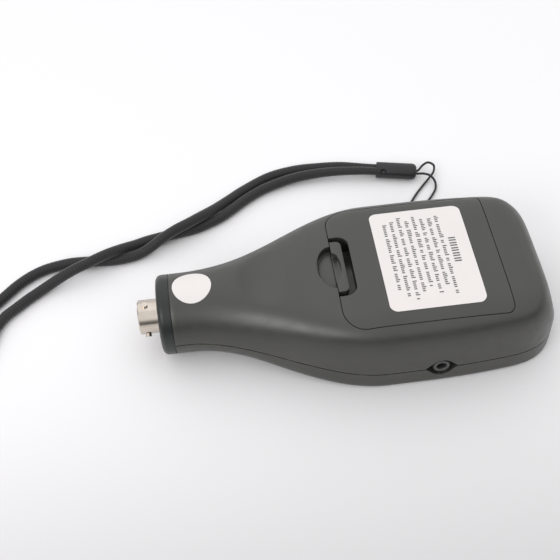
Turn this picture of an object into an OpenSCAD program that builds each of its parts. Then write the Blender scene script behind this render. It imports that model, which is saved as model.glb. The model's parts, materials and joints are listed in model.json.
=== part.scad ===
// Handheld coating thickness gauge, lying on its front face with its back up.
// +X runs from the probe socket in the neck to the wide end, +Z is up.

/* [Case] */
// Length from the neck's joint with the nose cap to the wide end
case_len = 147.5; // [142:0.5:156]
// Widest width of the case, at the parting line
case_w = 70.4; // [68:0.2:74]
// Height from the front face to the crest of the back
case_h = 33; // [32:0.25:36]
// Wall of both shells
wall = 2.2; // [1.8:0.1:2.6]
// Wall of the front face
front_wall = 2.6; // [2.2:0.1:2.8]
// Height of the parting line above the front face
part_z = 9; // [8.5:0.25:9.5]
// Outside radius of the neck
neck_r = 15.5; // [15:0.1:16]
// Lean of the wide end's face from upright
end_lean = 18; // [14:1:22]
// Radius between the wide end's face and the back
brow_r = 9.5; // [8:0.5:11]
// Depth of the thumb dish on the shoulder
thumb_dip = 1.1; // [0.6:0.1:1.5]

/* [Nose] */
// Length of the nose cap
cap_len = 5.3; // [4.6:0.1:6.5]
// Length of the socket in front of the cap
socket_len = 8; // [6:0.25:10]
// Outside radius of the socket
socket_r = 6.7; // [6.3:0.1:7.2]
// Radius of the socket's mouth
mouth_r = 5.4; // [5:0.1:5.6]
// Depth of the socket's mouth
mouth_depth = 6; // [4:0.25:7]
// Radius of one bayonet lug
lug_r = 1.15; // [0.8:0.05:1.4]

/* [Battery bay] */
// Length of the battery door
door_len = 63; // [62:0.5:66]
// Width of the case beside the battery door
door_side = 5.7; // [5.4:0.1:6.7]
// Thickness of the battery door
door_t = 2; // [1.6:0.1:2.2]
// Gap all round the battery door
door_gap = 0.3; // [0.25:0.05:0.5]
// Width of the latch's press tab
tab_w = 24.6; // [20:0.2:26]
// Diameter of one cell
cell_d = 10.5; // [9.8:0.1:10.7]
// Length of one cell with its terminal
cell_len = 44.5; // [43:0.5:45]

/* [Front] */
// Window's size along the case
window_l = 26; // [20:1:28]
// Width of the case beside the window
window_side = 18.2; // [17.4:0.1:20]
// Radius of one key
key_r = 4.6; // [3.8:0.1:5]
// Travel of one key
key_travel = 0.8; // [0.5:0.1:1]
// Depth of the front panel's recess
panel_dip = 0.8; // [0.5:0.1:1]

/* [Jack] */
// Radius of the data jack's bore
jack_bore_r = 1.75; // [1.25:0.25:1.75]
// Depth of the data jack's bore
jack_depth = 12.5; // [10:0.5:13]

/* [Labels] */
// Door label's size along the case
label_l = 36; // [30:0.5:40]
// Door label's size across the case
label_w = 48.7; // [40:0.5:52]
// Radius of the round label on the neck
badge_r = 7.8; // [6:0.1:9]
// Thickness of a label
label_t = 0.15; // [0.1:0.05:0.3]

/* [Strap] */
// Diameter of a braided strand
strap_d = 4.4; // [3.6:0.1:4.4]
// Diameter of the thin loop
loop_d = 1; // [0.8:0.1:1.4]
// Length of the sleeve
sleeve_len = 18.2; // [16:0.2:20]

/* [Hidden] */

case_grey = [0.34, 0.345, 0.33];
cap_grey = [0.2, 0.2, 0.2];
nickel = [0.75, 0.74, 0.72];
gold = [0.85, 0.68, 0.35];
off_white = [0.93, 0.92, 0.91];
ink = [0.08, 0.08, 0.085];
board_green = [0.1, 0.35, 0.2];

// Places along the case
total_len = case_len + cap_len + socket_len;
end_x = total_len / 2;
neck_x = end_x - case_len;
neck_z = neck_r + 0.3;
shoulder_x0 = neck_x + 4;
shoulder_x1 = end_x - 69;
belly_x = end_x - 54.5;
belly_taper = 0.0016;
bow_run = 24.4;
bow_power = 3.1;
front_dip = 1.3;
chin_run = 7.4;
neck_power = 2;
back_full = 5.6;
front_full = 10;
end_full = 4;
neck_share = 0.4;
tip_x = end_x + 0.2;
brow_end_z = case_h - brow_r * (1 - sin(end_lean));
brow_x = tip_x - brow_r * cos(end_lean) - (brow_end_z - part_z) * tan(end_lean);

// Fineness of the case's outer surface and of the surfaces inside it
fine = [40, 20, 10];
coarse = [20, 10, 18];

function mix(a, b, s) = a + (b - a) * s;
function unit(s) = min(max(s, 0), 1);
function smooth(s) = let (c = unit(s)) c * c * (3 - 2 * c);
function shoulder(x) = smooth((x - shoulder_x0) / (shoulder_x1 - shoulder_x0));
function spow(v, p) = sign(v) * pow(abs(v), p);

// Half width of the case at the parting line
function half_w(x) =
    let (u = unit((x - tip_x + bow_run) / bow_run))
    (mix(neck_r, case_w / 2, shoulder(x)) - belly_taper * pow(max(x - belly_x, 0), 2))
    * pow(1 - pow(u, bow_power), 1 / bow_power);

// Height of the case's crest
function top_z(x) =
    let (crest = mix(neck_z + neck_r, case_h, shoulder(x)), r = x - brow_x)
    r <= 0 ? crest
    : r < brow_r * cos(end_lean) ? case_h - brow_r + sqrt(brow_r * brow_r - r * r)
    : brow_end_z - (r - brow_r * cos(end_lean)) / tan(end_lean);

// Lowest point of the case's section, before the front face is cut flat
function low_z(x) =
    let (v = unit((x - tip_x + chin_run) / chin_run))
    mix(mix(neck_z - neck_r, -front_dip, shoulder(x)), part_z, 1 - sqrt(1 - v * v));

// How square a section is: 2 gives an ellipse, and a larger number a fuller oblong
function back_power(x) = mix(mix(neck_power, back_full, pow(shoulder(x), 2)), end_full,
    smooth((x - brow_x + 4) / (tip_x - brow_x)));
function front_power(x) = mix(neck_power, front_full, pow(shoulder(x), 2));

// One section of the case, set in by d all round
function section(x, d, sides) =
    let (s = x + d * smooth((x - belly_x + 10) / 30),
        w = half_w(s) - d,
        c = mix(neck_z, part_z, shoulder(x)),
        up = top_z(s) - d - c,
        down = c - low_z(s) - d)
    [for (k = [0:sides - 1])
        let (a = 360 * k / sides,
            back = sin(a) >= 0,
            p = 2 / (back ? back_power(s) : front_power(s)))
        [x, w * spow(cos(a), p), c + (back ? up : down) * spow(sin(a), p)]];

function stations(d, steps, turn) = concat(
    d > 0 ? [neck_x - 1] : [],
    [for (i = [0:steps - 1]) mix(neck_x, brow_x, i / steps)],
    [for (a = [0:turn:90]) mix(brow_x, end_x - d, sin(a))]);

// The case's outer form, set in by d
module skin(d) {
    grain = d > 0 ? coarse : fine;
    sides = grain[0];
    xs = stations(d, grain[1], grain[2]);
    for (i = [0:len(xs) - 2])
        hull() polyhedron(
            points = concat(section(xs[i], d, sides), section(xs[i + 1], d, sides)),
            faces = [[for (k = [0:sides - 1]) k], [for (k = [sides - 1:-1:0]) sides + k]]);
}

module band(d0, d1) {
    difference() {
        skin(d0);
        skin(d1);
    }
}

module above(z) {
    translate([-case_len, -case_w, z]) cube([2 * case_len, 2 * case_w, 2 * case_h]);
}

module below(z) {
    translate([-case_len, -case_w, z - 2 * case_h]) cube([2 * case_len, 2 * case_w, 2 * case_h]);
}

// A box from two corners
module span(low, high) {
    translate(low) cube(high - low);
}

// Battery door and bay
door_x0 = end_x - 85;
door_x1 = door_x0 + door_len;
door_w = case_w - 2 * door_side;
door_neck_corner = 9;
door_end_corner = 3;
seat_gap = 0.3;
shelf_d = door_t + seat_gap;
shelf_t = 1.4;
shelf_lap = 1.5;
tray_t = 1.4;
cell_gap = 0.4;
spring_room = 4.3;
plate_t = 0.5;
end_play = 0.3;
bay_w = 4 * cell_d + 5 * cell_gap;
bay_len = cell_len + spring_room + 2 * plate_t + end_play;
bay_x1 = door_x1 - 2.6;
bay_x0 = bay_x1 - bay_len;
cell_z = case_h - door_t - 0.7 - cell_d / 2;
tray_z = cell_z - cell_d / 2 - 0.1;

// Latch at the door's neck end
slot_l = 7.4;
slot_gap = 2.2;
slot_corner = 4.4;
tab_l = 4.4;
tab_t = 3.2;
tab_corner = 2;
tab_dish = 1.2;
spring_t = 1.1;
leg_set = 0.4;
spring_w = tab_w - 6;
spring_drop = 8.4;
latch_floor = case_h - spring_drop - 1;
recess_l = 6.1;
recess_w = 20.4;
recess_dip = 1.8;

// Hook tabs at the door's wide end
hook_ys = [-cell_d - cell_gap, cell_d + cell_gap];
hook_w = 8;
hook_heel = 2.2;
hook_root = 0.9;
hook_l = 2;
hook_t = 1.4;
hook_d = wall + 0.3;

// Case screws
screw_xs = [door_x0 + 12.6, door_x1 - 8.4];
screw_y = door_w / 2 - 4.1;
screw_ys = [-screw_y, screw_y];
screw_r = 1.45;
screw_head_r = 2.4;
screw_head_h = 1.8;
screw_seat_z = tray_z - 0.8;
well_r = 2.7;
screw_end_z = part_z - 1;
boss_r = 3.2;
boss_top_z = screw_seat_z - tray_t;

module at_case_screws() {
    for (x = screw_xs, y = screw_ys) translate([x, y, 0]) children();
}

module door_plan(g) {
    hull() for (s = [-1, 1]) {
        translate([door_x0 + door_neck_corner, s * (door_w / 2 - door_neck_corner)])
            circle(r = door_neck_corner - g, $fn = 32);
        translate([door_x1 - door_end_corner, s * (door_w / 2 - door_end_corner)])
            circle(r = door_end_corner - g, $fn = 32);
    }
}

// A plan drawn upwards from the parting line
module rise() {
    translate([0, 0, part_z]) linear_extrude(case_h) children();
}

module door_prism(g) {
    rise() door_plan(g);
}

// A tab plan that is square at the door's edge and round at its other corners
module tab_plan(length, width, corner) {
    hull() {
        translate([door_x0 - 1, -width / 2]) square([1, width]);
        for (s = [-1, 1])
            translate([door_x0 + length - corner, s * (width / 2 - corner)]) circle(r = corner, $fn = 32);
    }
}

module finger_recess(grow) {
    translate([door_x0, 0, 0]) linear_extrude(2 * case_h)
        scale([(recess_l + grow) / (recess_w / 2 + grow), 1]) circle(r = recess_w / 2 + grow, $fn = 36);
}

// Data jack in the near side, on the parting line
jack_x = end_x - 49.1;
jack_floor_y = -case_w / 2 + 2.6;
jack_seat_y = jack_floor_y + 1.6;
jack_nose_r = 3;
jack_nose_out = 0.8;
jack_eye_r = 4.5;
jack_eye_l = 12.2;
jack_block = [8.4, jack_depth - 1.4, 6.4];

module jack_eye(grow, y0, y1) {
    translate([jack_x, y1, part_z]) rotate([90, 0, 0]) linear_extrude(y1 - y0) hull() {
        circle(r = jack_eye_r + grow, $fn = 24);
        for (s = [-1, 1]) translate([s * (jack_eye_l / 2 - 0.5), 0]) circle(r = 0.5 + grow, $fn = 8);
    }
}

module jack_hole() {
    translate([jack_x, jack_seat_y + 1, part_z]) rotate([90, 0, 0])
        cylinder(r = jack_nose_r + 0.1, h = jack_seat_y - jack_floor_y + 2, $fn = 32);
}

// Lanyard holes in the far side
lanyard_xs = [end_x - 52.5, end_x - 46.5];
lanyard_z = part_z + 4;
lanyard_r = 1.2;

// Stack above the front face
key_gap = 0.3;
key_nose_z = 0.35;
flange_r = key_r + 1;
flange_t = 1;
flange_z = front_wall + key_gap;
board_z = 8.2;
board_t = 1.6;
mat_t = 1.2;
key_xs = [end_x - 82.5, end_x - 66.5];
key_pitch = 13;
key_ys = [-key_pitch, 0, key_pitch];
window_x = end_x - 28;
window_w = case_w - 2 * window_side;
board_w = window_w + 2;
lens_t = panel_dip + 0.4;
lens_lap = 2;
board_screw_y = board_w / 2 - 2.5;
board_x0 = mix(shoulder_x0, shoulder_x1, neck_share);
board_screw_at = [[board_x0 + 6, 0], [end_x - 56, -board_screw_y], [end_x - 56, board_screw_y]];
screw_play = 0.1;
board_screw_r = 1;
board_boss_r = 2.3;

function key_place(k) = [key_xs[floor((k - 1) / 3)], key_ys[(k - 1) % 3], 0];

module panel_plan() {
    hull() for (s = [-1, 1]) {
        translate([window_x + window_l / 2, s * (window_w / 2 - 1)]) circle(r = 3, $fn = 24);
        translate([key_xs[0] - 4, s * 15]) circle(r = 6, $fn = 24);
        translate([key_xs[0] - 24, s * 5]) circle(r = 6, $fn = 24);
    }
}

module block(size_x, size_y, z0, z1) {
    translate([-size_x / 2, -size_y / 2, z0]) cube([size_x, size_y, z1 - z0]);
}

module back_shell() {
    color(case_grey) difference() {
        union() {
            band(0, wall);
            intersection() {
                band(wall / 2, shelf_d + shelf_t);
                door_prism(-shelf_lap);
                above(tray_z);
            }
            intersection() {
                skin(shelf_d);
                union() {
                    span([bay_x0 - tray_t, -bay_w / 2 - tray_t, tray_z - tray_t],
                        [bay_x1 + tray_t, bay_w / 2 + tray_t, case_h]);
                    span([door_x0 - tray_t, -tab_w / 2 - slot_gap - tray_t, latch_floor - tray_t],
                        [bay_x0, tab_w / 2 + slot_gap + tray_t, case_h]);
                    at_case_screws() translate([0, 0, screw_seat_z - tray_t])
                        cylinder(r = well_r + tray_t, h = case_h, $fn = 16);
                }
            }
            intersection() {
                skin(wall / 2);
                finger_recess(tray_t);
                above(case_h - recess_dip - tray_t);
            }
            intersection() {
                skin(wall / 2);
                jack_eye(tray_t, -case_w / 2, jack_seat_y);
            }
        }
        below(part_z);
        difference() {
            door_prism(0);
            skin(shelf_d);
        }
        span([bay_x0, -bay_w / 2, tray_z], [bay_x1, bay_w / 2, case_h]);
        span([door_x0 + 0.1, -tab_w / 2 - slot_gap, latch_floor],
            [bay_x0 - tray_t, tab_w / 2 + slot_gap, case_h]);
        at_case_screws() {
            translate([0, 0, screw_seat_z]) cylinder(r = well_r, h = case_h, $fn = 16);
            cylinder(r = screw_r + 0.15, h = case_h, $fn = 16);
        }
        intersection() {
            skin(wall);
            for (y = hook_ys)
                span([bay_x1 - 0.4, y - hook_w / 2 - 0.6, case_h - 5.4],
                    [door_x1 + hook_l + 0.8, y + hook_w / 2 + 0.6, case_h]);
        }
        intersection() {
            finger_recess(0);
            above(case_h - recess_dip);
        }
        thumb_dish();
        jack_eye(0, -case_w, jack_floor_y);
        jack_hole();
        for (x = lanyard_xs) translate([x, 0, lanyard_z]) rotate([-90, 0, 0])
            cylinder(r = lanyard_r, h = case_w, $fn = 20);
    }
}

// A shallow round dish for the thumb, where the neck meets the shoulder
thumb_x = mix(shoulder_x0, shoulder_x1, neck_share);
thumb_r = 90;
module thumb_dish() {
    translate([thumb_x, 0, top_z(thumb_x) - thumb_dip + thumb_r]) sphere(r = thumb_r, $fn = 180);
}

module front_shell() {
    color(case_grey) difference() {
        union() {
            difference() {
                skin(0);
                intersection() {
                    skin(wall);
                    above(front_wall);
                }
            }
            intersection() {
                skin(wall / 2);
                union() {
                    at_case_screws() cylinder(r = boss_r, h = boss_top_z, $fn = 16);
                    for (p = board_screw_at) translate(p) cylinder(r = board_boss_r, h = board_z, $fn = 16);
                    intersection() {
                        jack_eye(tray_t, -case_w / 2, jack_seat_y);
                        below(part_z);
                    }
                }
            }
        }
        below(0);
        difference() {
            above(part_z);
            at_case_screws() cylinder(r = boss_r, h = boss_top_z, $fn = 16);
        }
        difference() {
            above(part_z - 0.4);
            union() {
                skin(0.7);
                at_case_screws() cylinder(r = boss_r, h = boss_top_z, $fn = 16);
            }
        }
        translate([0, 0, -1]) linear_extrude(1 + panel_dip) panel_plan();
        translate([window_x, 0, 0]) {
            block(window_l, window_w, 0, panel_dip + lens_t);
            block(window_l - 2 * lens_lap, window_w - 2 * lens_lap, 0, 2 * front_wall);
        }
        for (x = key_xs, y = key_ys) translate([x, y, -1])
            cylinder(r = key_r + key_gap, h = front_wall + 2, $fn = 24);
        at_case_screws() translate([0, 0, screw_end_z]) cylinder(r = screw_r + screw_play, h = case_h, $fn = 16);
        for (p = board_screw_at) translate(p) translate([0, 0, front_wall + 1])
            cylinder(r = board_screw_r + screw_play, h = case_h, $fn = 16);
        jack_eye(0, -case_w, jack_floor_y);
        jack_hole();
    }
}

module battery_door() {
    color(case_grey) union() {
        difference() {
            intersection() {
                band(0, door_t);
                door_prism(door_gap);
            }
            rise() tab_plan(slot_l, tab_w + 2 * slot_gap, slot_corner);
        }
        difference() {
            intersection() {
                band(0, tab_t);
                rise() intersection() {
                    tab_plan(tab_l, tab_w, tab_corner);
                    door_plan(door_gap);
                }
            }
            translate([door_x0, 0, case_h - tab_dish]) linear_extrude(case_h)
                scale([0.4, 1]) circle(r = 7, $fn = 40);
        }
        intersection() {
            skin(door_t / 2);
            translate([door_x0, 0, case_h]) {
                span([tab_l - leg_set - spring_t, -spring_w / 2, -spring_drop], [tab_l - leg_set, spring_w / 2, 0]);
                span([slot_l + leg_set, -spring_w / 2, -spring_drop], [slot_l + leg_set + spring_t, spring_w / 2, 0]);
                span([tab_l - leg_set - spring_t, -spring_w / 2, -spring_drop],
                    [slot_l + leg_set + spring_t, spring_w / 2, -spring_drop + spring_t]);
            }
        }
        for (y = hook_ys) intersection() {
            union() {
                intersection() {
                    band(hook_d, hook_d + hook_t);
                    span([door_x1 - hook_heel, y - hook_w / 2, 0], [door_x1 + hook_l, y + hook_w / 2, case_h]);
                }
                intersection() {
                    band(door_t / 2, hook_d + hook_t);
                    span([door_x1 - hook_heel, y - hook_w / 2, 0], [door_x1 - hook_root, y + hook_w / 2, case_h]);
                }
            }
            above(case_h - 8);
        }
    }
}

label_x = end_x - 49.5;
label_corner = 3;
module door_label() {
    color(off_white) intersection() {
        band(-label_t, 0);
        translate([label_x, 0, 0]) rise() hull()
            for (i = [-1, 1], j = [-1, 1])
                translate([i * (label_l / 2 - label_corner), j * (label_w / 2 - label_corner)])
                    circle(r = label_corner, $fn = 24);
    }
}

badge_x = neck_x + 8.6;
module neck_label() {
    color(off_white) intersection() {
        band(-label_t, 0);
        above(neck_z);
        translate([badge_x, 0, 0]) cylinder(r = badge_r, h = 2 * case_h, $fn = 48);
    }
}

// Nose: local Z runs forward along the neck's axis, from the joint with the shells
cap_wall = 3;
cap_round = 2.2;
spigot_len = 6;
spigot_gap = 0.15;
thread_r = socket_r - 0.9;
hole_gap = 0.05;
nut_h = 3;
washer_t = 0.6;
socket_back = -9;
socket_front = cap_len + socket_len;
insert_face = socket_front - mouth_depth;
insert_r = mouth_r - 0.8;
lug_back = 3;
contact_r = 0.8;
contact_ring_r = 2.5;

module along_neck() {
    translate([neck_x, 0, neck_z]) rotate([0, -90, 0]) children();
}

module nose_cap() {
    spigot_r = neck_r - wall - spigot_gap;
    color(cap_grey) along_neck() difference() {
        rotate_extrude($fn = 96) polygon(concat(
            [[thread_r + hole_gap, cap_len], [thread_r + hole_gap, cap_len - cap_wall],
                [spigot_r - 1.6, cap_len - cap_wall], [spigot_r - 1.6, -spigot_len],
                [spigot_r, -spigot_len], [spigot_r, 0],
                [neck_r - 0.5, 0], [neck_r - 0.5, 0.4], [neck_r, 0.4]],
            [for (a = [0:15:90]) [neck_r - cap_round + cap_round * cos(a),
                cap_len - cap_round + cap_round * sin(a)]]));
    }
}

module connector_shell() {
    color(nickel) along_neck() {
        rotate_extrude($fn = 96) polygon([
            [insert_r, socket_back], [thread_r, socket_back], [thread_r, cap_len],
            [socket_r, cap_len], [socket_r, socket_front - 0.4], [socket_r - 0.4, socket_front],
            [mouth_r, socket_front], [mouth_r, insert_face], [insert_r, insert_face]]);
        for (a = [0:120:240]) rotate([0, 0, a]) translate([0, 0, socket_front - lug_back])
            rotate([0, 90, 0]) translate([0, 0, mouth_r + 0.3])
                cylinder(r = lug_r, h = socket_r - mouth_r + 0.8, $fn = 32);
    }
}

module at_contacts() {
    for (a = [45:90:315]) rotate([0, 0, a]) translate([contact_ring_r, 0, 0]) children();
}

module connector_insert() {
    color(ink) along_neck() difference() {
        translate([0, 0, socket_back]) cylinder(r = insert_r, h = insert_face - socket_back, $fn = 64);
        at_contacts() translate([0, 0, socket_back - 1]) cylinder(r = contact_r, h = 40, $fn = 24);
    }
}

module connector_contacts() {
    color(gold) along_neck() at_contacts() difference() {
        translate([0, 0, socket_back - 3]) cylinder(r = contact_r, h = insert_face - socket_back + 3, $fn = 24);
        translate([0, 0, insert_face - 5]) cylinder(r = contact_r * 0.6, h = 6, $fn = 24);
    }
}

module connector_washer() {
    color(nickel) along_neck() difference() {
        translate([0, 0, cap_len - cap_wall - washer_t]) cylinder(r = thread_r + 2.6, h = washer_t, $fn = 48);
        translate([0, 0, -5]) cylinder(r = thread_r + hole_gap, h = 20, $fn = 48);
    }
}

module connector_nut() {
    color(gold) along_neck() difference() {
        translate([0, 0, cap_len - cap_wall - washer_t - nut_h]) cylinder(r = thread_r + 2.4, h = nut_h, $fn = 6);
        translate([0, 0, -9]) cylinder(r = thread_r, h = 20, $fn = 48);
    }
}

// Tube of diameter d swept along a route, with n sides
function route_dir(p, i) =
    let (v = p[min(i + 1, len(p) - 1)] - p[max(i - 1, 0)]) v / norm(v);
function tube_ring(c, t, r, n) =
    let (side = cross(t, abs(t[2]) > 0.9 ? [1, 0, 0] : [0, 0, 1]), u = side / norm(side), v = cross(u, t))
    [for (k = [0:n - 1]) c + r * (cos(360 * k / n) * u + sin(360 * k / n) * v)];

module tube(p, d, n) {
    m = len(p);
    points = [for (i = [0:m - 1]) each tube_ring(p[i], route_dir(p, i), d / 2, n)];
    faces = concat(
        [[for (k = [0:n - 1]) k]],
        [[for (k = [n - 1:-1:0]) (m - 1) * n + k]],
        [for (i = [0:m - 2], k = [0:n - 1]) [i * n + k, (i + 1) * n + k, i * n + (k + 1) % n]],
        [for (i = [0:m - 2], k = [0:n - 1]) [(i + 1) * n + k, (i + 1) * n + (k + 1) % n, i * n + (k + 1) % n]]);
    polyhedron(points = points, faces = faces);
}

// Four wires from the socket's tails to the board's near end
lead_d = 1.1;
lead_pad_x = board_x0 + 3;
lead_lift = 0.4;
module probe_leads() {
    tail_x = neck_x - socket_back + 3;
    color("firebrick") for (a = [45:90:315]) {
        y = contact_ring_r * sin(a);
        z = neck_z + contact_ring_r * cos(a);
        pad_y = 1.6 * y + (z > neck_z ? 1.2 : -1.2);
        tube([[tail_x, y, z], [tail_x + 3, y, z], [tail_x + 8, 1.3 * y, z + 1],
            [lead_pad_x - 5, pad_y, board_z + board_t + 4], [lead_pad_x - 1.5, pad_y, board_z + board_t + 2.4],
            [lead_pad_x, pad_y, board_z + board_t + lead_lift]], lead_d, 8);
    }
}

module data_jack() {
    color(ink) translate([jack_x, jack_seat_y, part_z]) difference() {
        union() {
            rotate([90, 0, 0]) cylinder(r = jack_nose_r, h = jack_seat_y - jack_floor_y + jack_nose_out, $fn = 48);
            translate([-jack_block[0] / 2, 0, -jack_block[2] / 2]) cube(jack_block);
        }
        translate([0, jack_depth - (jack_seat_y - jack_floor_y + jack_nose_out), 0])
            rotate([90, 0, 0]) cylinder(r = jack_bore_r, h = jack_depth + 1, $fn = 48);
    }
}

module jack_pins() {
    color(gold) for (i = [-1:1])
        translate([jack_x + 2.6 * i - 0.5, jack_seat_y + jack_block[1], board_z + board_t])
            cube([1, 5, 0.4]);
}

board_x1 = window_x + window_l / 2 + 3;
board_neck_w = 20;
module main_board() {
    color(board_green) translate([0, 0, board_z]) difference() {
        linear_extrude(board_t) polygon([
            [board_x0, -board_neck_w / 2], [board_x0 + 22, -board_w / 2], [board_x1, -board_w / 2],
            [board_x1, board_w / 2], [board_x0 + 22, board_w / 2], [board_x0, board_neck_w / 2]]);
        for (p = board_screw_at) translate([p[0], p[1], -1]) cylinder(r = board_screw_r + screw_play, h = 5, $fn = 24);
    }
}

module board_chips() {
    color(ink) translate([0, 0, board_z + board_t]) {
        translate([key_xs[1], 0, 0]) block(12, 12, 0, 1.6);
        translate([key_xs[0] - 4, 6, 0]) block(5, 4, 0, 1.4);
        translate([key_xs[0] - 4, -6, 0]) block(5, 4, 0, 1.4);
    }
}

can_r = 2.5;
can_h = tray_z - tray_t - board_z - board_t - 3;
module board_parts() {
    color("silver") translate([0, 0, board_z + board_t]) {
        translate([key_xs[1] - 10, 11, 0]) hull() for (s = [-1, 1])
            translate([s * 3, 0, 0]) cylinder(r = 2, h = 3.4, $fn = 24);
        for (s = [-1, 1]) translate([window_x, s * board_w / 4, 0]) cylinder(r = can_r, h = can_h, $fn = 32);
    }
}

module board_screws() {
    color(nickel) for (p = board_screw_at) translate(p) {
        translate([0, 0, front_wall + 2]) cylinder(r = board_screw_r, h = board_z + board_t - front_wall - 2, $fn = 24);
        translate([0, 0, board_z + board_t]) cylinder(r = board_screw_r + 1, h = 1.3, $fn = 24);
    }
}

// Display: window, glass, frame and the rubber strips that join glass to board
glass_t = 2.2;
glass_z = front_wall + 0.4;
frame_l = window_l + 6;
frame_w = board_w;
frame_t = 1.5;
glass_gap = 0.1;
strip_l = 2;
module lcd_frame() {
    color(off_white) translate([window_x, 0, 0]) difference() {
        block(frame_l, frame_w, front_wall, board_z);
        block(frame_l - 2 * frame_t, frame_w - 2 * frame_t, glass_z, board_z + 1);
        block(window_l - 2 * lens_lap, window_w - 2 * lens_lap, 0, board_z);
    }
}

module lcd_glass() {
    color([0.62, 0.68, 0.6]) translate([window_x, 0, 0])
        block(frame_l - 2 * frame_t - 2 * glass_gap, frame_w - 2 * frame_t - 2 * glass_gap, glass_z, glass_z + glass_t);
}

module lcd_strips() {
    color(ink) for (s = [-1, 1])
        translate([window_x + s * (frame_l / 2 - frame_t - strip_l), 0, 0])
            block(strip_l, frame_w - 2 * frame_t - 2, glass_z + glass_t, board_z);
}

module display_window() {
    color([0.8, 0.85, 0.85]) translate([window_x, 0, 0])
        block(window_l - 0.1, window_w - 0.1, panel_dip, panel_dip + lens_t);
}

module keypad_mat() {
    mat_l = key_xs[1] - key_xs[0] + 12;
    dome_z = flange_z + flange_t + key_travel + 0.1;
    color([0.75, 0.75, 0.72]) {
        translate([(key_xs[0] + key_xs[1]) / 2, 0, 0]) block(mat_l, board_w - 2, board_z - mat_t, board_z);
        for (x = key_xs, y = key_ys) translate([x, y, dome_z])
            cylinder(r1 = 2, r2 = 3.2, h = board_z - mat_t - dome_z, $fn = 32);
    }
}

module key(k) {
    color([0.25, 0.3, 0.4]) translate(key_place(k)) {
        translate([0, 0, key_nose_z + 0.4]) cylinder(r = key_r, h = flange_z - key_nose_z - 0.4, $fn = 48);
        translate([0, 0, key_nose_z]) cylinder(r1 = key_r - 0.4, r2 = key_r, h = 0.4, $fn = 48);
        translate([0, 0, flange_z]) cylinder(r = flange_r, h = flange_t, $fn = 48);
    }
}

// Cells lie side by side and turn end for end from one to the next
function cell_y(k) = (k - 2.5) * (cell_d + cell_gap);
cell_nub = 1;
module at_cell(k) {
    translate([(bay_x0 + bay_x1) / 2, cell_y(k), cell_z]) rotate([0, 0, k % 2 == 0 ? 180 : 0])
        translate([-bay_len / 2, 0, 0]) rotate([0, 90, 0]) children();
}

module cell(k) {
    color([0.2, 0.35, 0.6]) at_cell(k) translate([0, 0, plate_t + spring_room]) {
        cylinder(r = cell_d / 2, h = cell_len - cell_nub, $fn = 48);
        translate([0, 0, cell_len - cell_nub]) cylinder(r = 1.9, h = cell_nub, $fn = 32);
    }
}

spring_wire = 0.6;
spring_turns = 3;
spring_rings = 8;
module battery_springs() {
    n = spring_turns * spring_rings;
    run = spring_room - spring_wire;
    color(nickel) for (k = [1:4]) at_cell(k) tube(
        [for (i = [0:n]) let (r = 3.4 - 1.4 * i / n, a = 360 * i / spring_rings)
            [r * cos(a), r * sin(a), plate_t + spring_wire / 2 + run * i / n]], spring_wire, 5);
}

plate_h = 6;
module battery_plates() {
    color(nickel) for (k = [1:4]) at_cell(k) for (z = [0, bay_len - plate_t])
        translate([-plate_h / 2, -cell_d / 2 + 1, z]) cube([plate_h, cell_d - 2, plate_t]);
}

module case_screws() {
    color(nickel) at_case_screws() {
        translate([0, 0, screw_end_z]) cylinder(r = screw_r, h = screw_seat_z - screw_end_z, $fn = 32);
        translate([0, 0, screw_seat_z]) difference() {
            cylinder(r = screw_head_r, h = screw_head_h, $fn = 32);
            for (a = [0, 90]) rotate(a) translate([-1.6, -0.3, screw_head_h - 0.8]) cube([3.2, 0.6, 2]);
        }
    }
}

// Wrist strap: a thin loop from the lanyard holes to a sleeve, then a folded braided cord
sleeve_from = [27.2, 78.4, 0];
sleeve_turn = -13;
sleeve_w = 7.8;
sleeve_h = 6.4;
sleeve_round = 2.7;
sleeve_nose = 2.4;
sleeve_taper = 0.9;
dimple_r = 1.2;
module strap_sleeve() {
    color(ink) translate(sleeve_from) rotate([0, 0, sleeve_turn]) difference() {
        hull() for (y = [-1, 1], z = [sleeve_round, sleeve_h - sleeve_round])
            translate([0, y * (sleeve_w / 2 - sleeve_round), z]) rotate([0, 90, 0]) {
                cylinder(r = sleeve_round, h = sleeve_len - sleeve_nose, $fn = 24);
                cylinder(r = sleeve_round - sleeve_taper, h = sleeve_len, $fn = 24);
            }
        translate([3.2, 0, sleeve_h + 0.4]) sphere(r = dimple_r, $fn = 24);
    }
}

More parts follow.
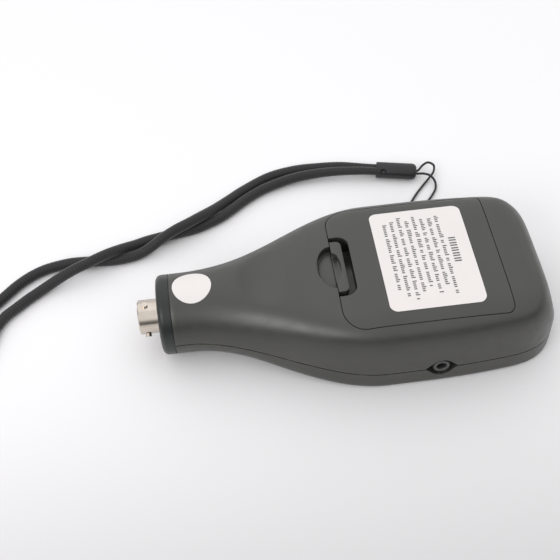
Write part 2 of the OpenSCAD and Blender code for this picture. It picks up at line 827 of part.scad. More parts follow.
// The routes' points, chosen by hand
strap_route = [[27.35, 80.16, 2.6], [22.4, 81.6, 2.3], [11.8, 84.2, 2.2], [0.9, 84.9, 2.2], [-10.2, 84.6, 2.2],
    [-21.5, 82, 2.2], [-33.1, 75.6, 2.3], [-40.7, 69.7, 3], [-47.3, 63.8, 4.6], [-53.2, 58.9, 6.3], [-59, 55.1, 6.9],
    [-64.3, 52.3, 6.9], [-69.7, 49.1, 6.4], [-75.1, 46.5, 4.4], [-79.7, 45, 2.7], [-84.9, 43.7, 2.2], [-93, 43, 2.2],
    [-101.9, 43.9, 2.2], [-110, 44.2, 2.2], [-118, 42.9, 2.2], [-123, 41.2, 2.2], [-127.9, 38.4, 2.2],
    [-132.7, 34.5, 2.2], [-137.4, 29.6, 2.2], [-141.6, 25.4, 2.2], [-146.6, 21.4, 2.2], [-153, 17.4, 2.2],
    [-159.4, 11.8, 2.2], [-162.4, 4.4, 2.2], [-160, -2.8, 2.2], [-153.4, -6, 2.2], [-146.6, -3, 2.2], [-143, 4, 2.2],
    [-140.6, 12, 2.2], [-136.9, 18.6, 2.2], [-132.2, 22.9, 2.2], [-127.5, 26.9, 2.2], [-122.6, 30.4, 2.4],
    [-117.6, 33.1, 3.4], [-112.3, 35.1, 5.2], [-107, 36.9, 6.6], [-101.9, 39, 6.9], [-96.9, 41.5, 6.9],
    [-92.1, 44, 6.3], [-87.3, 47.2, 4.4], [-82.2, 50, 2.7], [-77, 52, 2.2], [-69, 53.6, 2.2], [-61.3, 54.7, 2.2],
    [-54, 56.5, 2.2], [-45.1, 60.7, 2.2], [-39.4, 64.8, 2.2], [-33.6, 69.3, 2.2], [-27.9, 73, 2.3], [-22.2, 75.6, 2.6],
    [-10.9, 78.8, 3.2], [0.1, 79.7, 3.7], [10.9, 79.1, 4.1], [21.6, 77.4, 4.4], [26.46, 76.32, 4.4]];

module wrist_strap() {
    color(ink) tube(strap_route, strap_d, 8);
}

loop_a_route = [[lanyard_xs[0] + 2.3, case_w / 2 - 4, lanyard_z], [lanyard_xs[0] + 1, case_w / 2 - 3.4, lanyard_z],
    [lanyard_xs[0], case_w / 2 - 1.6, lanyard_z], [lanyard_xs[0], case_w / 2 + 1.4, lanyard_z],
    [lanyard_xs[0] + 0.8, case_w / 2 + 5, lanyard_z - 1.6], [30.6, 43.6, 8], [33, 48.4, 4], [36, 53.4, 1.6],
    [39.4, 58.4, 0.7], [43.2, 63.6, 0.7], [46.8, 67.8, 0.8], [50.2, 71.4, 1.2], [52.8, 74.2, 2.2], [53.4, 77.2, 3.2],
    [51.2, 79, 3.5], [48.6, 77.8, 3.4], [46.6, 75.7, 3.2], [45.5, 74.8, 3.2]];
loop_b_route = [[lanyard_xs[1] - 2.3, case_w / 2 - 4, lanyard_z], [lanyard_xs[1] - 1, case_w / 2 - 3.4, lanyard_z],
    [lanyard_xs[1], case_w / 2 - 1.6, lanyard_z], [lanyard_xs[1], case_w / 2 + 1.4, lanyard_z],
    [lanyard_xs[1] + 1, case_w / 2 + 5, lanyard_z - 1.6], [37.4, 43.6, 8], [40.2, 48.4, 4], [43.4, 53.2, 1.6],
    [46.6, 57.6, 0.7], [49.6, 61.4, 0.7], [51.8, 65, 0.8], [52.2, 68.4, 1.8], [50.6, 70.8, 3.2], [47.8, 72.2, 3.6],
    [45, 73, 3.2]];

module strap_loop_a() {
    color(ink) tube(loop_a_route, loop_d, 8);
}

module strap_loop_b() {
    color(ink) tube(loop_b_route, loop_d, 8);
}

back_shell();
front_shell();
nose_cap();
connector_shell();
connector_insert();
connector_contacts();
connector_washer();
connector_nut();
probe_leads();
battery_door();
door_label();
neck_label();
data_jack();
jack_pins();
main_board();
board_chips();
board_parts();
board_screws();
lcd_frame();
lcd_glass();
lcd_strips();
display_window();
keypad_mat();
for (k = [1:6]) key(k);
for (k = [1:4]) cell(k);
battery_springs();
battery_plates();
case_screws();
strap_loop_a();
strap_loop_b();
strap_sleeve();
wrist_strap();
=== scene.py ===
# %% [markdown]
# # A handheld coating thickness gauge
# The gauge lies on its front face, so its back, its battery door and its probe socket show.
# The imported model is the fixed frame: every piece here is drawn in its place, in the same frame.
# Sizes are in millimetres, as on a maker's drawing, and each finished piece is brought to metres.

import json
import math
import random

import bpy
from mathutils import Matrix, Vector


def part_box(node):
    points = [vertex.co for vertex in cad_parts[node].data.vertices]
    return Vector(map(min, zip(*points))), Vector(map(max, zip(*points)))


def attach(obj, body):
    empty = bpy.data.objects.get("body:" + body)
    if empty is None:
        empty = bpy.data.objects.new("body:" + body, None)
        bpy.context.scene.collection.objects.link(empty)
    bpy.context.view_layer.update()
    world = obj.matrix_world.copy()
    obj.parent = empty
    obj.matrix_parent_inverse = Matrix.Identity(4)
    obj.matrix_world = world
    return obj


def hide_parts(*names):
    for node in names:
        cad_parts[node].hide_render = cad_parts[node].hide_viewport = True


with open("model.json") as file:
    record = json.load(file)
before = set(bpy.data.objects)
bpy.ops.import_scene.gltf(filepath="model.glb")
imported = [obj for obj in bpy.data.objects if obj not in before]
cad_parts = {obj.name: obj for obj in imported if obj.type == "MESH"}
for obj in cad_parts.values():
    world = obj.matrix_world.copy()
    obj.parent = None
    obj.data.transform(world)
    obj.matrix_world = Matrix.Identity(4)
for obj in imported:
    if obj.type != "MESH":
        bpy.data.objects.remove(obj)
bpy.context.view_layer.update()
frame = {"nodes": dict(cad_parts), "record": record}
nodes = frame["nodes"]
MM = 0.001


def box_mm(node):
    """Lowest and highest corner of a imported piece, in millimetres."""
    low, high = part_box(node)
    return Vector(low) / MM, Vector(high) / MM


print("pieces in the frame:", len(nodes))

# %% [markdown]
# ## Camera
# The photograph was taken from above the neck's near side, with a long lens. The camera's place and
# its three axes were fitted to the label, the door and the neck. A camera looks along its own -Z,
# so its matrix is built from the picture's right, up and backward directions.

# %% Place the camera
CAMERA_AT = Vector((-43.43, -240.6, 321.98))
PICTURE_RIGHT = Vector((0.99205, -0.12042, -0.03646))
PICTURE_DOWN = Vector((-0.11609, -0.76432, -0.6343))
PICTURE_AWAY = Vector((0.04851, 0.63349, -0.77223))
SENSOR_MM = 36.0
LENS_MM = 64.29

camera_data = bpy.data.cameras.new("photo_camera")
camera_data.sensor_width = SENSOR_MM
camera_data.lens = LENS_MM
camera_data.clip_start = 0.01
camera = bpy.data.objects.new("photo_camera", camera_data)
bpy.context.scene.collection.objects.link(camera)
axes = Matrix((PICTURE_RIGHT, -PICTURE_DOWN, -PICTURE_AWAY)).transposed()
camera.matrix_world = Matrix.Translation(CAMERA_AT * MM) @ axes.to_4x4()
bpy.context.scene.camera = camera
print("camera", tuple(round(v, 4) for v in camera.location))

# %% [markdown]
# ## Hand tools
# A few helpers do what a hand does in Blender: clear the selection, pick one object, cut it with
# another and throw the cutter away. Most cutters are primitives, so they get one helper each.

# %% Selecting, settling and cutting


def clear_selection():
    if bpy.context.mode != "OBJECT":
        bpy.ops.object.mode_set(mode="OBJECT")
    bpy.ops.object.select_all(action="DESELECT")


def pick(obj):
    clear_selection()
    obj.select_set(True)
    bpy.context.view_layer.objects.active = obj


def edit_all(obj):
    pick(obj)
    bpy.ops.object.mode_set(mode="EDIT")
    bpy.ops.mesh.select_all(action="SELECT")


def object_mode():
    bpy.ops.object.mode_set(mode="OBJECT")


def apply_modifiers(obj):
    pick(obj)
    for modifier in list(obj.modifiers):
        bpy.ops.object.modifier_apply(modifier=modifier.name)


def carve(obj, cutter, operation="DIFFERENCE"):
    """Cuts obj with cutter, or joins or crosses them, and removes the cutter."""
    modifier = obj.modifiers.new("carve", "BOOLEAN")
    modifier.operation = operation
    modifier.solver = "EXACT"
    modifier.object = cutter
    apply_modifiers(obj)
    bpy.data.objects.remove(cutter)
    return obj


def settle(obj, name):
    """Names a piece drawn in millimetres and brings it to metres, with its place in its mesh."""
    pick(obj)
    obj.scale = (MM, MM, MM)
    obj.location = obj.location * MM
    bpy.ops.object.transform_apply(location=True, rotation=True, scale=True)
    obj.name = name
    obj.data.name = name
    print(name, len(obj.data.polygons), "faces")
    return obj


def apply_place(obj):
    pick(obj)
    bpy.ops.object.transform_apply(location=True, rotation=True, scale=True)
    return obj


def block(low, high):
    """A box between two corners."""
    clear_selection()
    low, high = Vector(low), Vector(high)
    bpy.ops.mesh.primitive_cube_add(size=1, location=(low + high) / 2, scale=high - low)
    return apply_place(bpy.context.object)


def rod(base, axis, radius, length, sides=48):
    """A round bar from base along an axis."""
    clear_selection()
    axis = Vector(axis).normalized()
    turn = axis.to_track_quat("Z", "Y").to_euler()
    middle = Vector(base) + axis * length / 2
    bpy.ops.mesh.primitive_cylinder_add(
        vertices=sides, radius=radius, depth=length, location=middle, rotation=turn
    )
    return apply_place(bpy.context.object)


def plate(outline, z0, z1):
    """A flat outline, given as points in plan, raised from z0 to z1."""
    clear_selection()
    bpy.ops.mesh.primitive_circle_add(vertices=len(outline), radius=1, fill_type="NGON")
    obj = bpy.context.object
    for vertex, (x, y) in zip(obj.data.vertices, outline):
        vertex.co = (x, y, z0)
    edit_all(obj)
    bpy.ops.mesh.extrude_region_move(TRANSFORM_OT_translate={"value": (0, 0, z1 - z0)})
    bpy.ops.mesh.select_all(action="SELECT")
    bpy.ops.mesh.normals_make_consistent(inside=False)
    object_mode()
    return obj


def arc(cx, cy, radius, start, end, steps=12):
    """Points of a round corner, from one angle to another, in degrees."""
    angles = [math.radians(start + (end - start) * i / steps) for i in range(steps + 1)]
    return [(cx + radius * math.cos(a), cy + radius * math.sin(a)) for a in angles]


def ease_edges(obj, width, merge=0.03, angle=40, segments=2):
    """Merges slivers left by the cuts, then rounds the sharp edges a little and shades the rest smooth."""
    edit_all(obj)
    bpy.ops.mesh.remove_doubles(threshold=merge)
    bpy.ops.mesh.dissolve_degenerate(threshold=merge)
    object_mode()
    modifier = obj.modifiers.new("ease", "BEVEL")
    modifier.width = width
    modifier.segments = segments
    modifier.limit_method = "ANGLE"
    modifier.angle_limit = math.radians(angle)
    modifier.use_clamp_overlap = True
    modifier.harden_normals = False
    apply_modifiers(obj)
    pick(obj)
    bpy.ops.object.shade_smooth_by_angle(angle=math.radians(angle))
    return obj


print("tools ready")

# %% [markdown]
# ## Wrist strap
# The strap is one black braided cord, folded in two, whose ends meet in a small moulded sleeve.
# A curve with a round bevel would be smooth. The braid is wanted as a shape too, so the cord is a
# tube of rings along a smooth path, and each ring's radius follows the crossing yarns. Towards the
# sleeve the cord is drawn in a little, as a braid is when it is pulled.

# %% Rings along a path


def smooth_path(route, step):
    """A smooth curve through the points of a route, with a point about every step."""
    points = [Vector(p) for p in route]
    ends = [2 * points[0] - points[1]] + points + [2 * points[-1] - points[-2]]
    path = []
    for i in range(len(points) - 1):
        a, b, c, d = ends[i : i + 4]
        count = max(1, round((c - b).length / step))
        for k in range(count):
            t = k / count
            square = (2 * a - 5 * b + 4 * c - d) * t**2
            cube = (3 * b - a - 3 * c + d) * t**3
            path.append(0.5 * (2 * b + (c - a) * t + square + cube))
    return path + [points[-1]]


def cord_tube(name, path, radius, sides, carriers, pitch, relief, pinch=1.0, pinch_run=1.0):
    """A tube along the path, with yarns that cross as two sets of spirals, drawn in at its ends by pinch."""
    vertices, uvs, faces = [], [], []
    run = 0.0
    total = sum((b - a).length for a, b in zip(path, path[1:]))
    up = Vector((0, 0, 1))
    last = len(path) - 1
    for i, centre in enumerate(path):
        forward = (path[min(i + 1, last)] - path[max(i - 1, 0)]).normalized()
        side = forward.cross(up).normalized()
        up = side.cross(forward).normalized()
        if i:
            run += (centre - path[i - 1]).length
        thin = pinch + (1 - pinch) * min(1.0, min(run, total - run) / pinch_run)
        for k in range(sides):
            around = k / sides
            phase = 2 * math.pi * (carriers * around)
            along = 2 * math.pi * run / pitch
            yarn = math.cos(phase + along) * math.cos(phase - along)
            r = radius * thin + relief * yarn
            turn = 2 * math.pi * around
            vertices.append(centre + r * (math.cos(turn) * side + math.sin(turn) * up))
            uvs.append((around, run))
    for i in range(last):
        for k in range(sides):
            a, b = i * sides + k, i * sides + (k + 1) % sides
            faces.append((a, b, b + sides, a + sides))
    faces.append(tuple(range(sides - 1, -1, -1)))
    faces.append(tuple(last * sides + k for k in range(sides)))
    mesh = bpy.data.meshes.new(name)
    mesh.from_pydata([v * MM for v in vertices], [], faces)
    layer = mesh.uv_layers.new(name="UVMap")
    for polygon in mesh.polygons:
        for loop, corner in zip(polygon.loop_indices, polygon.vertices):
            u, v = uvs[corner]
            wraps = len(polygon.vertices) == 4 and u == 0 and polygon.index % sides == sides - 1
            layer.data[loop].uv = (1.0 if wraps else u, v)
    obj = bpy.data.objects.new(name, mesh)
    bpy.context.scene.collection.objects.link(obj)
    pick(obj)
    edit_all(obj)
    bpy.ops.mesh.normals_make_consistent(inside=False)
    object_mode()
    bpy.ops.object.shade_smooth_by_angle(angle=math.radians(60))
    print(name, "cord", round(run, 1), "mm,", len(faces), "faces")
    return obj, run


# %% The strap's route, from the sleeve out of the picture and back
STRAP_ROUTE = [
    (28.6, 79.85, 2.8), (27.35, 80.16, 2.6), (22.4, 81.6, 2.3), (11.8, 84.2, 2.2), (0.9, 84.9, 2.2),
    (-10.2, 84.6, 2.2), (-21.5, 82, 2.2), (-33.1, 75.6, 2.3), (-40.7, 69.7, 3), (-47.3, 63.8, 4.6),
    (-53.2, 58.9, 6.3), (-59, 55.1, 6.9), (-64.3, 52.3, 6.9), (-69.7, 49.1, 6.4),
    (-75.1, 46.5, 4.4), (-79.7, 45, 2.7), (-84.9, 43.7, 2.2), (-93, 43, 2.2), (-101.9, 43.9, 2.2),
    (-110, 44.2, 2.2), (-118, 42.9, 2.2), (-123, 41.2, 2.2), (-127.9, 38.4, 2.2),
    (-132.7, 34.5, 2.2), (-137.4, 29.6, 2.2), (-141.6, 25.4, 2.2), (-146.6, 21.4, 2.2),
    (-153, 17.4, 2.2), (-159.4, 11.8, 2.2), (-162.4, 4.4, 2.2), (-160, -2.8, 2.2),
    (-153.4, -6, 2.2), (-146.6, -3, 2.2), (-143, 4, 2.2), (-140.6, 12, 2.2), (-136.9, 18.6, 2.2),
    (-132.2, 22.9, 2.2), (-127.5, 26.9, 2.2), (-122.6, 30.4, 2.4), (-117.6, 33.1, 3.4),
    (-112.3, 35.1, 5.2), (-107, 36.9, 6.6), (-101.9, 39, 6.9), (-96.9, 41.5, 6.9), (-92.1, 44, 6.3),
    (-87.3, 47.2, 4.4), (-82.2, 50, 2.7), (-77, 52, 2.2), (-69, 53.6, 2.2), (-61.3, 54.7, 2.2),
    (-54, 56.5, 2.2), (-45.1, 60.7, 2.2), (-39.4, 64.8, 2.2), (-33.6, 69.3, 2.2), (-27.9, 73, 2.3),
    (-22.2, 75.6, 2.6), (-10.9, 78.8, 3.2), (0.1, 79.7, 3.7), (10.9, 79.1, 4.1), (21.6, 77.4, 4.4),
    (26.46, 76.32, 4.4), (27.9, 76, 4.4),
]
STRAP_D = 4.4
STRAP_STEP = 0.42
STRAP_SIDES = 32
BRAID_CARRIERS = 8
BRAID_PITCH = 3.4
BRAID_RELIEF = 0.05
YARN_LATTICE = (20, 0.8)
STRAP_PINCH = 0.76
STRAP_PINCH_RUN = 34.0

strap_path = smooth_path(STRAP_ROUTE, STRAP_STEP)
strap, strap_len = cord_tube(
    "strap_braid", strap_path, STRAP_D / 2, STRAP_SIDES,
    BRAID_CARRIERS, BRAID_PITCH, BRAID_RELIEF, STRAP_PINCH, STRAP_PINCH_RUN,
)
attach(strap, "casing")
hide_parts("wrist_strap")

# %% [markdown]
# ## Thin loop
# A thin twisted cord goes through two holes in the case's far side and both its ends run into the
# sleeve. The knot inside the case joins the two halves, so each half is a cord of its own. Both are
# made as the strap is, with two yarns in place of a braid.

# %% Both halves of the thin loop
HOLE_XS = (27.9, 33.9)
HOLE_Z = 13.0
LOOP_D = 1.0
LOOP_STEP = 0.3
LOOP_SIDES = 12
LOOP_YARNS = 2
LOOP_PITCH = 2.4
LOOP_RELIEF = 0.05
LOOP_A_ROUTE = [
    (30.2, 31.2, HOLE_Z), (28.9, 31.8, HOLE_Z), (27.9, 33.6, HOLE_Z), (27.9, 36.6, HOLE_Z),
    (28.7, 40.2, 11.4), (30.6, 43.6, 8), (33, 48.4, 4), (36, 53.4, 1.6), (39.4, 58.4, 0.7),
    (43.2, 63.6, 0.7), (46.8, 67.8, 0.8), (50.2, 71.4, 1.2), (52.8, 74.2, 2.2), (53.4, 77.2, 3.2),
    (51.2, 79, 3.5), (48.6, 77.8, 3.4), (46.6, 75.7, 3.2), (45.5, 74.8, 3.2), (44.4, 74.5, 3.2),
]
LOOP_B_ROUTE = [
    (31.6, 31.2, HOLE_Z), (32.9, 31.8, HOLE_Z), (33.9, 33.6, HOLE_Z), (33.9, 36.6, HOLE_Z),
    (34.9, 40.2, 11.4), (37.4, 43.6, 8), (40.2, 48.4, 4), (43.4, 53.2, 1.6), (46.6, 57.6, 0.7),
    (49.6, 61.4, 0.7), (51.8, 65, 0.8), (52.2, 68.4, 1.8), (50.6, 70.8, 3.2), (47.8, 72.2, 3.6),
    (45, 73, 3.2), (43.8, 73.6, 3.2),
]
loops = []
for half, route in (("a", LOOP_A_ROUTE), ("b", LOOP_B_ROUTE)):
    loop_path = smooth_path(route, LOOP_STEP)
    loop, loop_len = cord_tube(
        "loop_cord_" + half, loop_path, LOOP_D / 2, LOOP_SIDES, LOOP_YARNS, LOOP_PITCH, LOOP_RELIEF
    )
    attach(loop, "casing")
    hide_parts("strap_loop_" + half)
    loops.append((loop, loop_path, loop_len))

# %% [markdown]
# ## Sleeve
# The sleeve is moulded over the strap's folded ends: an oval bar with a rounded nose where the thin
# loop leaves it. A cylinder is flattened to the oval and its two rims are beveled. The small dimple
# is left by the mould's pin. It is cut with a sphere, because it is where a ball was pressed in.

# %% The moulded sleeve
SLEEVE_FROM = Vector((27.2, 78.4, 0))
SLEEVE_TURN = math.radians(-13)
SLEEVE_LEN = 18.2
SLEEVE_W = 7.8
SLEEVE_H = 6.4
SLEEVE_NOSE = 2.2
SLEEVE_RIM = 0.5
DIMPLE_AT = Vector((3.4, -3.5, 5.6))
DIMPLE_R = 1.5


def bevel_rim(obj, x, width, segments):
    """Rounds the rim of edges that lies at x."""
    edit_all(obj)
    bpy.ops.mesh.select_all(action="DESELECT")
    bpy.ops.mesh.select_mode(type="EDGE")
    object_mode()
    for edge in obj.data.edges:
        edge.select = all(abs(obj.data.vertices[v].co.x - x) < 0.01 for v in edge.vertices)
    bpy.ops.object.mode_set(mode="EDIT")
    bpy.ops.mesh.bevel(offset=width, segments=segments, profile=0.5, affect="EDGES")
    object_mode()


sleeve = rod((0, 0, SLEEVE_H / 2), (1, 0, 0), 1.0, SLEEVE_LEN, 64)
for vertex in sleeve.data.vertices:
    vertex.co.y *= SLEEVE_W / 2
    vertex.co.z = SLEEVE_H / 2 + (vertex.co.z - SLEEVE_H / 2) * SLEEVE_H / 2
bevel_rim(sleeve, SLEEVE_LEN, SLEEVE_NOSE, 8)
bevel_rim(sleeve, 0, SLEEVE_RIM, 4)
clear_selection()
bpy.ops.mesh.primitive_uv_sphere_add(segments=32, ring_count=16, radius=DIMPLE_R, location=DIMPLE_AT)
carve(sleeve, apply_place(bpy.context.object))
pick(sleeve)
bpy.ops.object.shade_smooth_by_angle(angle=math.radians(35))
sleeve.rotation_euler = (0, 0, SLEEVE_TURN)
sleeve.location = SLEEVE_FROM
settle(sleeve, "moulded_sleeve")
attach(sleeve, "casing")
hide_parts("strap_sleeve")

# %% [markdown]
# ## The case's form
# The back is a bottle: a round neck that grows into a wide, flat, softly crowned body, and a wide
# end that leans outwards to the parting line. A subdivided box would need many hand-placed points.
# Each cross-section is a rounded oblong whose squareness grows along the case, so a cylinder is
# ringed and every ring is pulled to the section at its place. A shallow dish for the thumb lies in the
# shoulder. The halves part where each section is widest, so the parting line rises along the neck.

# %% Sizes taken from the frame, and the section's rule
shell_low, shell_high = box_mm("back_shell")
NECK_X, END_X = shell_low.x, shell_high.x
HALF_W = shell_high.y
CASE_H = shell_high.z
PART_Z = shell_low.z
NECK_R = 15.5
NECK_Z = NECK_R + 0.3
WALL = 2.2
FRONT_WALL = 2.6
END_LEAN = math.radians(18)
BROW_R = 9.5
SHOULDER_X0 = NECK_X + 4
SHOULDER_X1 = END_X - 69
BELLY_X = END_X - 54.5
BELLY_TAPER = 0.0016
BOW_RUN = 24.4
BOW_POWER = 3.1
FRONT_DIP = 1.3
CHIN_RUN = 7.4
NECK_POWER, BACK_FULL, FRONT_FULL, END_FULL = 2.0, 5.6, 10.0, 4.0
END_LEAD = 4.0
INSET_LEAD = 10.0
INSET_RUN = 30.0
TIP_X = END_X + 0.2
BROW_END_Z = CASE_H - BROW_R * (1 - math.sin(END_LEAN))
BROW_X = TIP_X - BROW_R * math.cos(END_LEAN) - (BROW_END_Z - PART_Z) * math.tan(END_LEAN)
THUMB_X = SHOULDER_X0 + 0.4 * (SHOULDER_X1 - SHOULDER_X0)
THUMB_DIP = 1.9
THUMB_RX = 20.0
THUMB_RY = 400.0
THUMB_BLEND = 0.2


def mix(a, b, s):
    return a + (b - a) * s


def unit(s):
    return min(max(s, 0.0), 1.0)


def smooth(s):
    s = unit(s)
    return s * s * (3 - 2 * s)


def shoulder(x):
    return smooth((x - SHOULDER_X0) / (SHOULDER_X1 - SHOULDER_X0))


def half_width(x):
    bow = unit((x - TIP_X + BOW_RUN) / BOW_RUN)
    flank = mix(NECK_R, HALF_W, shoulder(x)) - BELLY_TAPER * max(x - BELLY_X, 0) ** 2
    return flank * (1 - bow**BOW_POWER) ** (1 / BOW_POWER)


def crest(x):
    past = x - BROW_X
    if past <= 0:
        return mix(NECK_Z + NECK_R, CASE_H, shoulder(x))
    if past < BROW_R * math.cos(END_LEAN):
        return CASE_H - BROW_R + math.sqrt(BROW_R**2 - past**2)
    return BROW_END_Z - (past - BROW_R * math.cos(END_LEAN)) / math.tan(END_LEAN)


def keel(x):
    chin = unit((x - TIP_X + CHIN_RUN) / CHIN_RUN)
    return mix(mix(NECK_Z - NECK_R, -FRONT_DIP, shoulder(x)), PART_Z, 1 - math.sqrt(1 - chin**2))


def back_squareness(x):
    body = mix(NECK_POWER, BACK_FULL, shoulder(x) ** 2)
    return mix(body, END_FULL, smooth((x - BROW_X + END_LEAD) / (TIP_X - BROW_X)))


def front_squareness(x):
    return mix(NECK_POWER, FRONT_FULL, shoulder(x) ** 2)


def soft_min(a, b, blend):
    """The lower of two heights, with the crease between them blended away."""
    near = max(blend - abs(a - b), 0) / blend
    return min(a, b) - near * near * blend / 4


def thumb_floor(x, y):
    return crest(THUMB_X) - THUMB_DIP + (x - THUMB_X) ** 2 / (2 * THUMB_RX) + y**2 / (2 * THUMB_RY)


def part_height(x):
    """Height of the parting line, which follows the widest place of the section."""
    return mix(NECK_Z, PART_Z, shoulder(x))


def section(x, depth):
    """Half width, centre height, rise, fall and squareness of the section at x, set in by depth."""
    s = x + depth * smooth((x - BELLY_X + INSET_LEAD) / INSET_RUN)
    centre = part_height(x)
    return (
        half_width(s) - depth, centre, crest(s) - depth - centre, centre - keel(s) - depth,
        back_squareness(s), front_squareness(s),
    )


def form_point(x, turn, depth):
    """A point of the case's form at x, at an angle round the section."""
    w, centre, rise, fall, back, front = section(x, depth)
    c, s = math.cos(turn), math.sin(turn)
    power = back if s >= 0 else front
    reach = (abs(c) ** power + abs(s) ** power) ** (-1 / power)
    y, z = w * reach * c, centre + (rise if s >= 0 else fall) * reach * s
    if depth <= 0 and s > 0:
        z = soft_min(z, thumb_floor(x, y) - depth, THUMB_BLEND)
    return Vector((x, y, z))


def back_height(x, y, depth=0.0):
    """Height of the back's surface over a place in plan."""
    w, centre, rise, fall, back, front = section(x, depth)
    z = centre + rise * (1 - unit(abs(y) / w) ** back) ** (1 / back)
    return soft_min(z, thumb_floor(x, y), THUMB_BLEND) if depth <= 0 else z


BODY_SHARE = 0.62
END_WALL = 2.2


def station(t, depth):
    """Place along the case: even steps to the brow, then finer ones towards the end."""
    start = NECK_X - (1 if depth > 0 else 0)
    if t < BODY_SHARE:
        return mix(start, BROW_X, t / BODY_SHARE)
    end = END_X - END_WALL * max(depth, 0)
    return mix(BROW_X, end, math.sin(math.pi / 2 * (t - BODY_SHARE) / (1 - BODY_SHARE)))


def case_form(depth, rings, sides):
    """The whole case as one closed form, set in by depth."""
    clear_selection()
    bpy.ops.mesh.primitive_cylinder_add(vertices=sides, radius=1, depth=1)
    obj = bpy.context.object
    edit_all(obj)
    bpy.ops.mesh.select_all(action="DESELECT")
    bpy.ops.mesh.select_mode(type="EDGE")
    object_mode()
    for edge in obj.data.edges:
        a, b = (obj.data.vertices[v].co for v in edge.vertices)
        edge.select = abs(a.z - b.z) > 0.5
    bpy.ops.object.mode_set(mode="EDIT")
    bpy.ops.mesh.subdivide_edgering(number_cuts=rings, interpolation="LINEAR")
    object_mode()
    for vertex in obj.data.vertices:
        t = unit(vertex.co.z + 0.5)
        turn = math.atan2(vertex.co.y, vertex.co.x)
        vertex.co = form_point(station(t, depth), turn, depth)
    edit_all(obj)
    bpy.ops.mesh.normals_make_consistent(inside=False)
    object_mode()
    return obj


SPLIT_STEPS = 80


def split_cutter(limit, drop=0.0):
    """A block from the parting line, lowered by drop, to a flat limit far above or below it."""
    far = 4 * CASE_H
    xs = [mix(NECK_X, SHOULDER_X1, i / SPLIT_STEPS) for i in range(SPLIT_STEPS + 1)]
    line = [(x, part_height(x) - drop) for x in [-far] + xs + [far]]
    cutter = plate(line + [(far, limit), (-far, limit)], -far, far)
    cutter.rotation_euler = (math.pi / 2, 0, 0)
    return apply_place(cutter)


print("case from", round(NECK_X, 1), "to", round(END_X, 1), "mm, brow at", round(BROW_X, 1))

# %% [markdown]
# ## Outlines on the back
# The door, its latch slot, the finger recess and the label are plain outlines seen from above. Each
# is a list of round corners, so one function per outline keeps them true to the drawing.

# %% Door, latch, recess and jack outlines
DOOR_X0 = NECK_X + 62.5
DOOR_X1 = DOOR_X0 + 63
DOOR_HALF = 29.5
DOOR_NECK_CORNER = 9.0
DOOR_END_CORNER = 3.0
DOOR_GAP = 0.3
DOOR_T = 2.0
SHELF_D = DOOR_T + 0.3
SHELF_T = 1.4
TRAY_T = 1.4
TAB_W = 24.6
TAB_L = 4.4
TAB_T = 3.2
TAB_CORNER = 2.0
TAB_DISH = 2.3
TAB_DISH_HALF = (3.0, 7.0)
SLOT_L = 7.4
SLOT_GAP = 2.2
SLOT_CORNER = 4.4
SPRING_T = 1.1
LEG_SET = 0.4
SPRING_DROP = 8.4
RECESS_L = 6.1
RECESS_HALF = 10.2
RECESS_DIP = 2.4
RECESS_LINE_W = 0.7
RECESS_LINE_D = 0.8
PIP_AT = (DOOR_X0 + 1.4, 5.0)
PIP_R = 0.9
TALL = 2 * CASE_H


def door_outline(gap):
    x0, x1 = DOOR_X0 + DOOR_NECK_CORNER, DOOR_X1 - DOOR_END_CORNER
    y0, y1 = DOOR_HALF - DOOR_NECK_CORNER, DOOR_HALF - DOOR_END_CORNER
    r0, r1 = DOOR_NECK_CORNER - gap, DOOR_END_CORNER - gap
    neck_end = arc(x0, y0, r0, 90, 180, 20) + arc(x0, -y0, r0, 180, 270, 20)
    return arc(x1, -y1, r1, -90, 0) + arc(x1, y1, r1, 0, 90) + neck_end


def tab_outline(length, width, corner):
    x, y = DOOR_X0 + length - corner, width / 2 - corner
    near = [(DOOR_X0 - 1, width / 2), (DOOR_X0 - 1, -width / 2)]
    return arc(x, -y, corner, -90, 0) + arc(x, y, corner, 0, 90) + near


def oval(cx, half_x, half_y, steps=64):
    turns = [2 * math.pi * i / steps for i in range(steps)]
    return [(cx + half_x * math.cos(a), half_y * math.sin(a)) for a in turns]


JACK_X = NECK_X + 98.4
JACK_FLOOR_Y = -HALF_W + 2.6
JACK_SEAT_Y = JACK_FLOOR_Y + 1.6
JACK_NOSE_R = 3.0
EYE_R = 4.5
EYE_TIP_R = 0.5
EYE_TIP_X = 5.6


def jack_eye(grow, y0, y1):
    """The almond-shaped recess round the jack, as a cutter through the near side."""
    lean = math.degrees(math.acos((EYE_R - EYE_TIP_R) / EYE_TIP_X))
    tip, big = EYE_TIP_R + grow, EYE_R + grow
    outline = arc(EYE_TIP_X, 0, tip, -lean, lean, 8) + arc(0, 0, big, lean, 180 - lean, 20)
    outline += arc(-EYE_TIP_X, 0, tip, 180 - lean, 180 + lean, 8) + arc(0, 0, big, 180 + lean, 360 - lean, 20)
    eye = plate(outline, -y1, -y0)
    eye.rotation_euler = (math.pi / 2, 0, 0)
    eye.location = (JACK_X, 0, PART_Z)
    return apply_place(eye)


def jack_hole():
    return rod((JACK_X, JACK_FLOOR_Y - 1, PART_Z), (0, 1, 0), JACK_NOSE_R + 0.1, 4)


print("door", round(DOOR_X0, 1), "to", round(DOOR_X1, 1), "mm")

# %% [markdown]
# ## Back shell
# The back is a thin moulding with a battery tray, screw wells and a ledge for the door inside it. It
# could be sculpted face by face. Carving is closer to how its mould is cut: the outer form, less a
# cavity that leaves room for the tray's walls, less the openings. The finger recess is an oval cut at
# the latch, with a fine line round its floor.

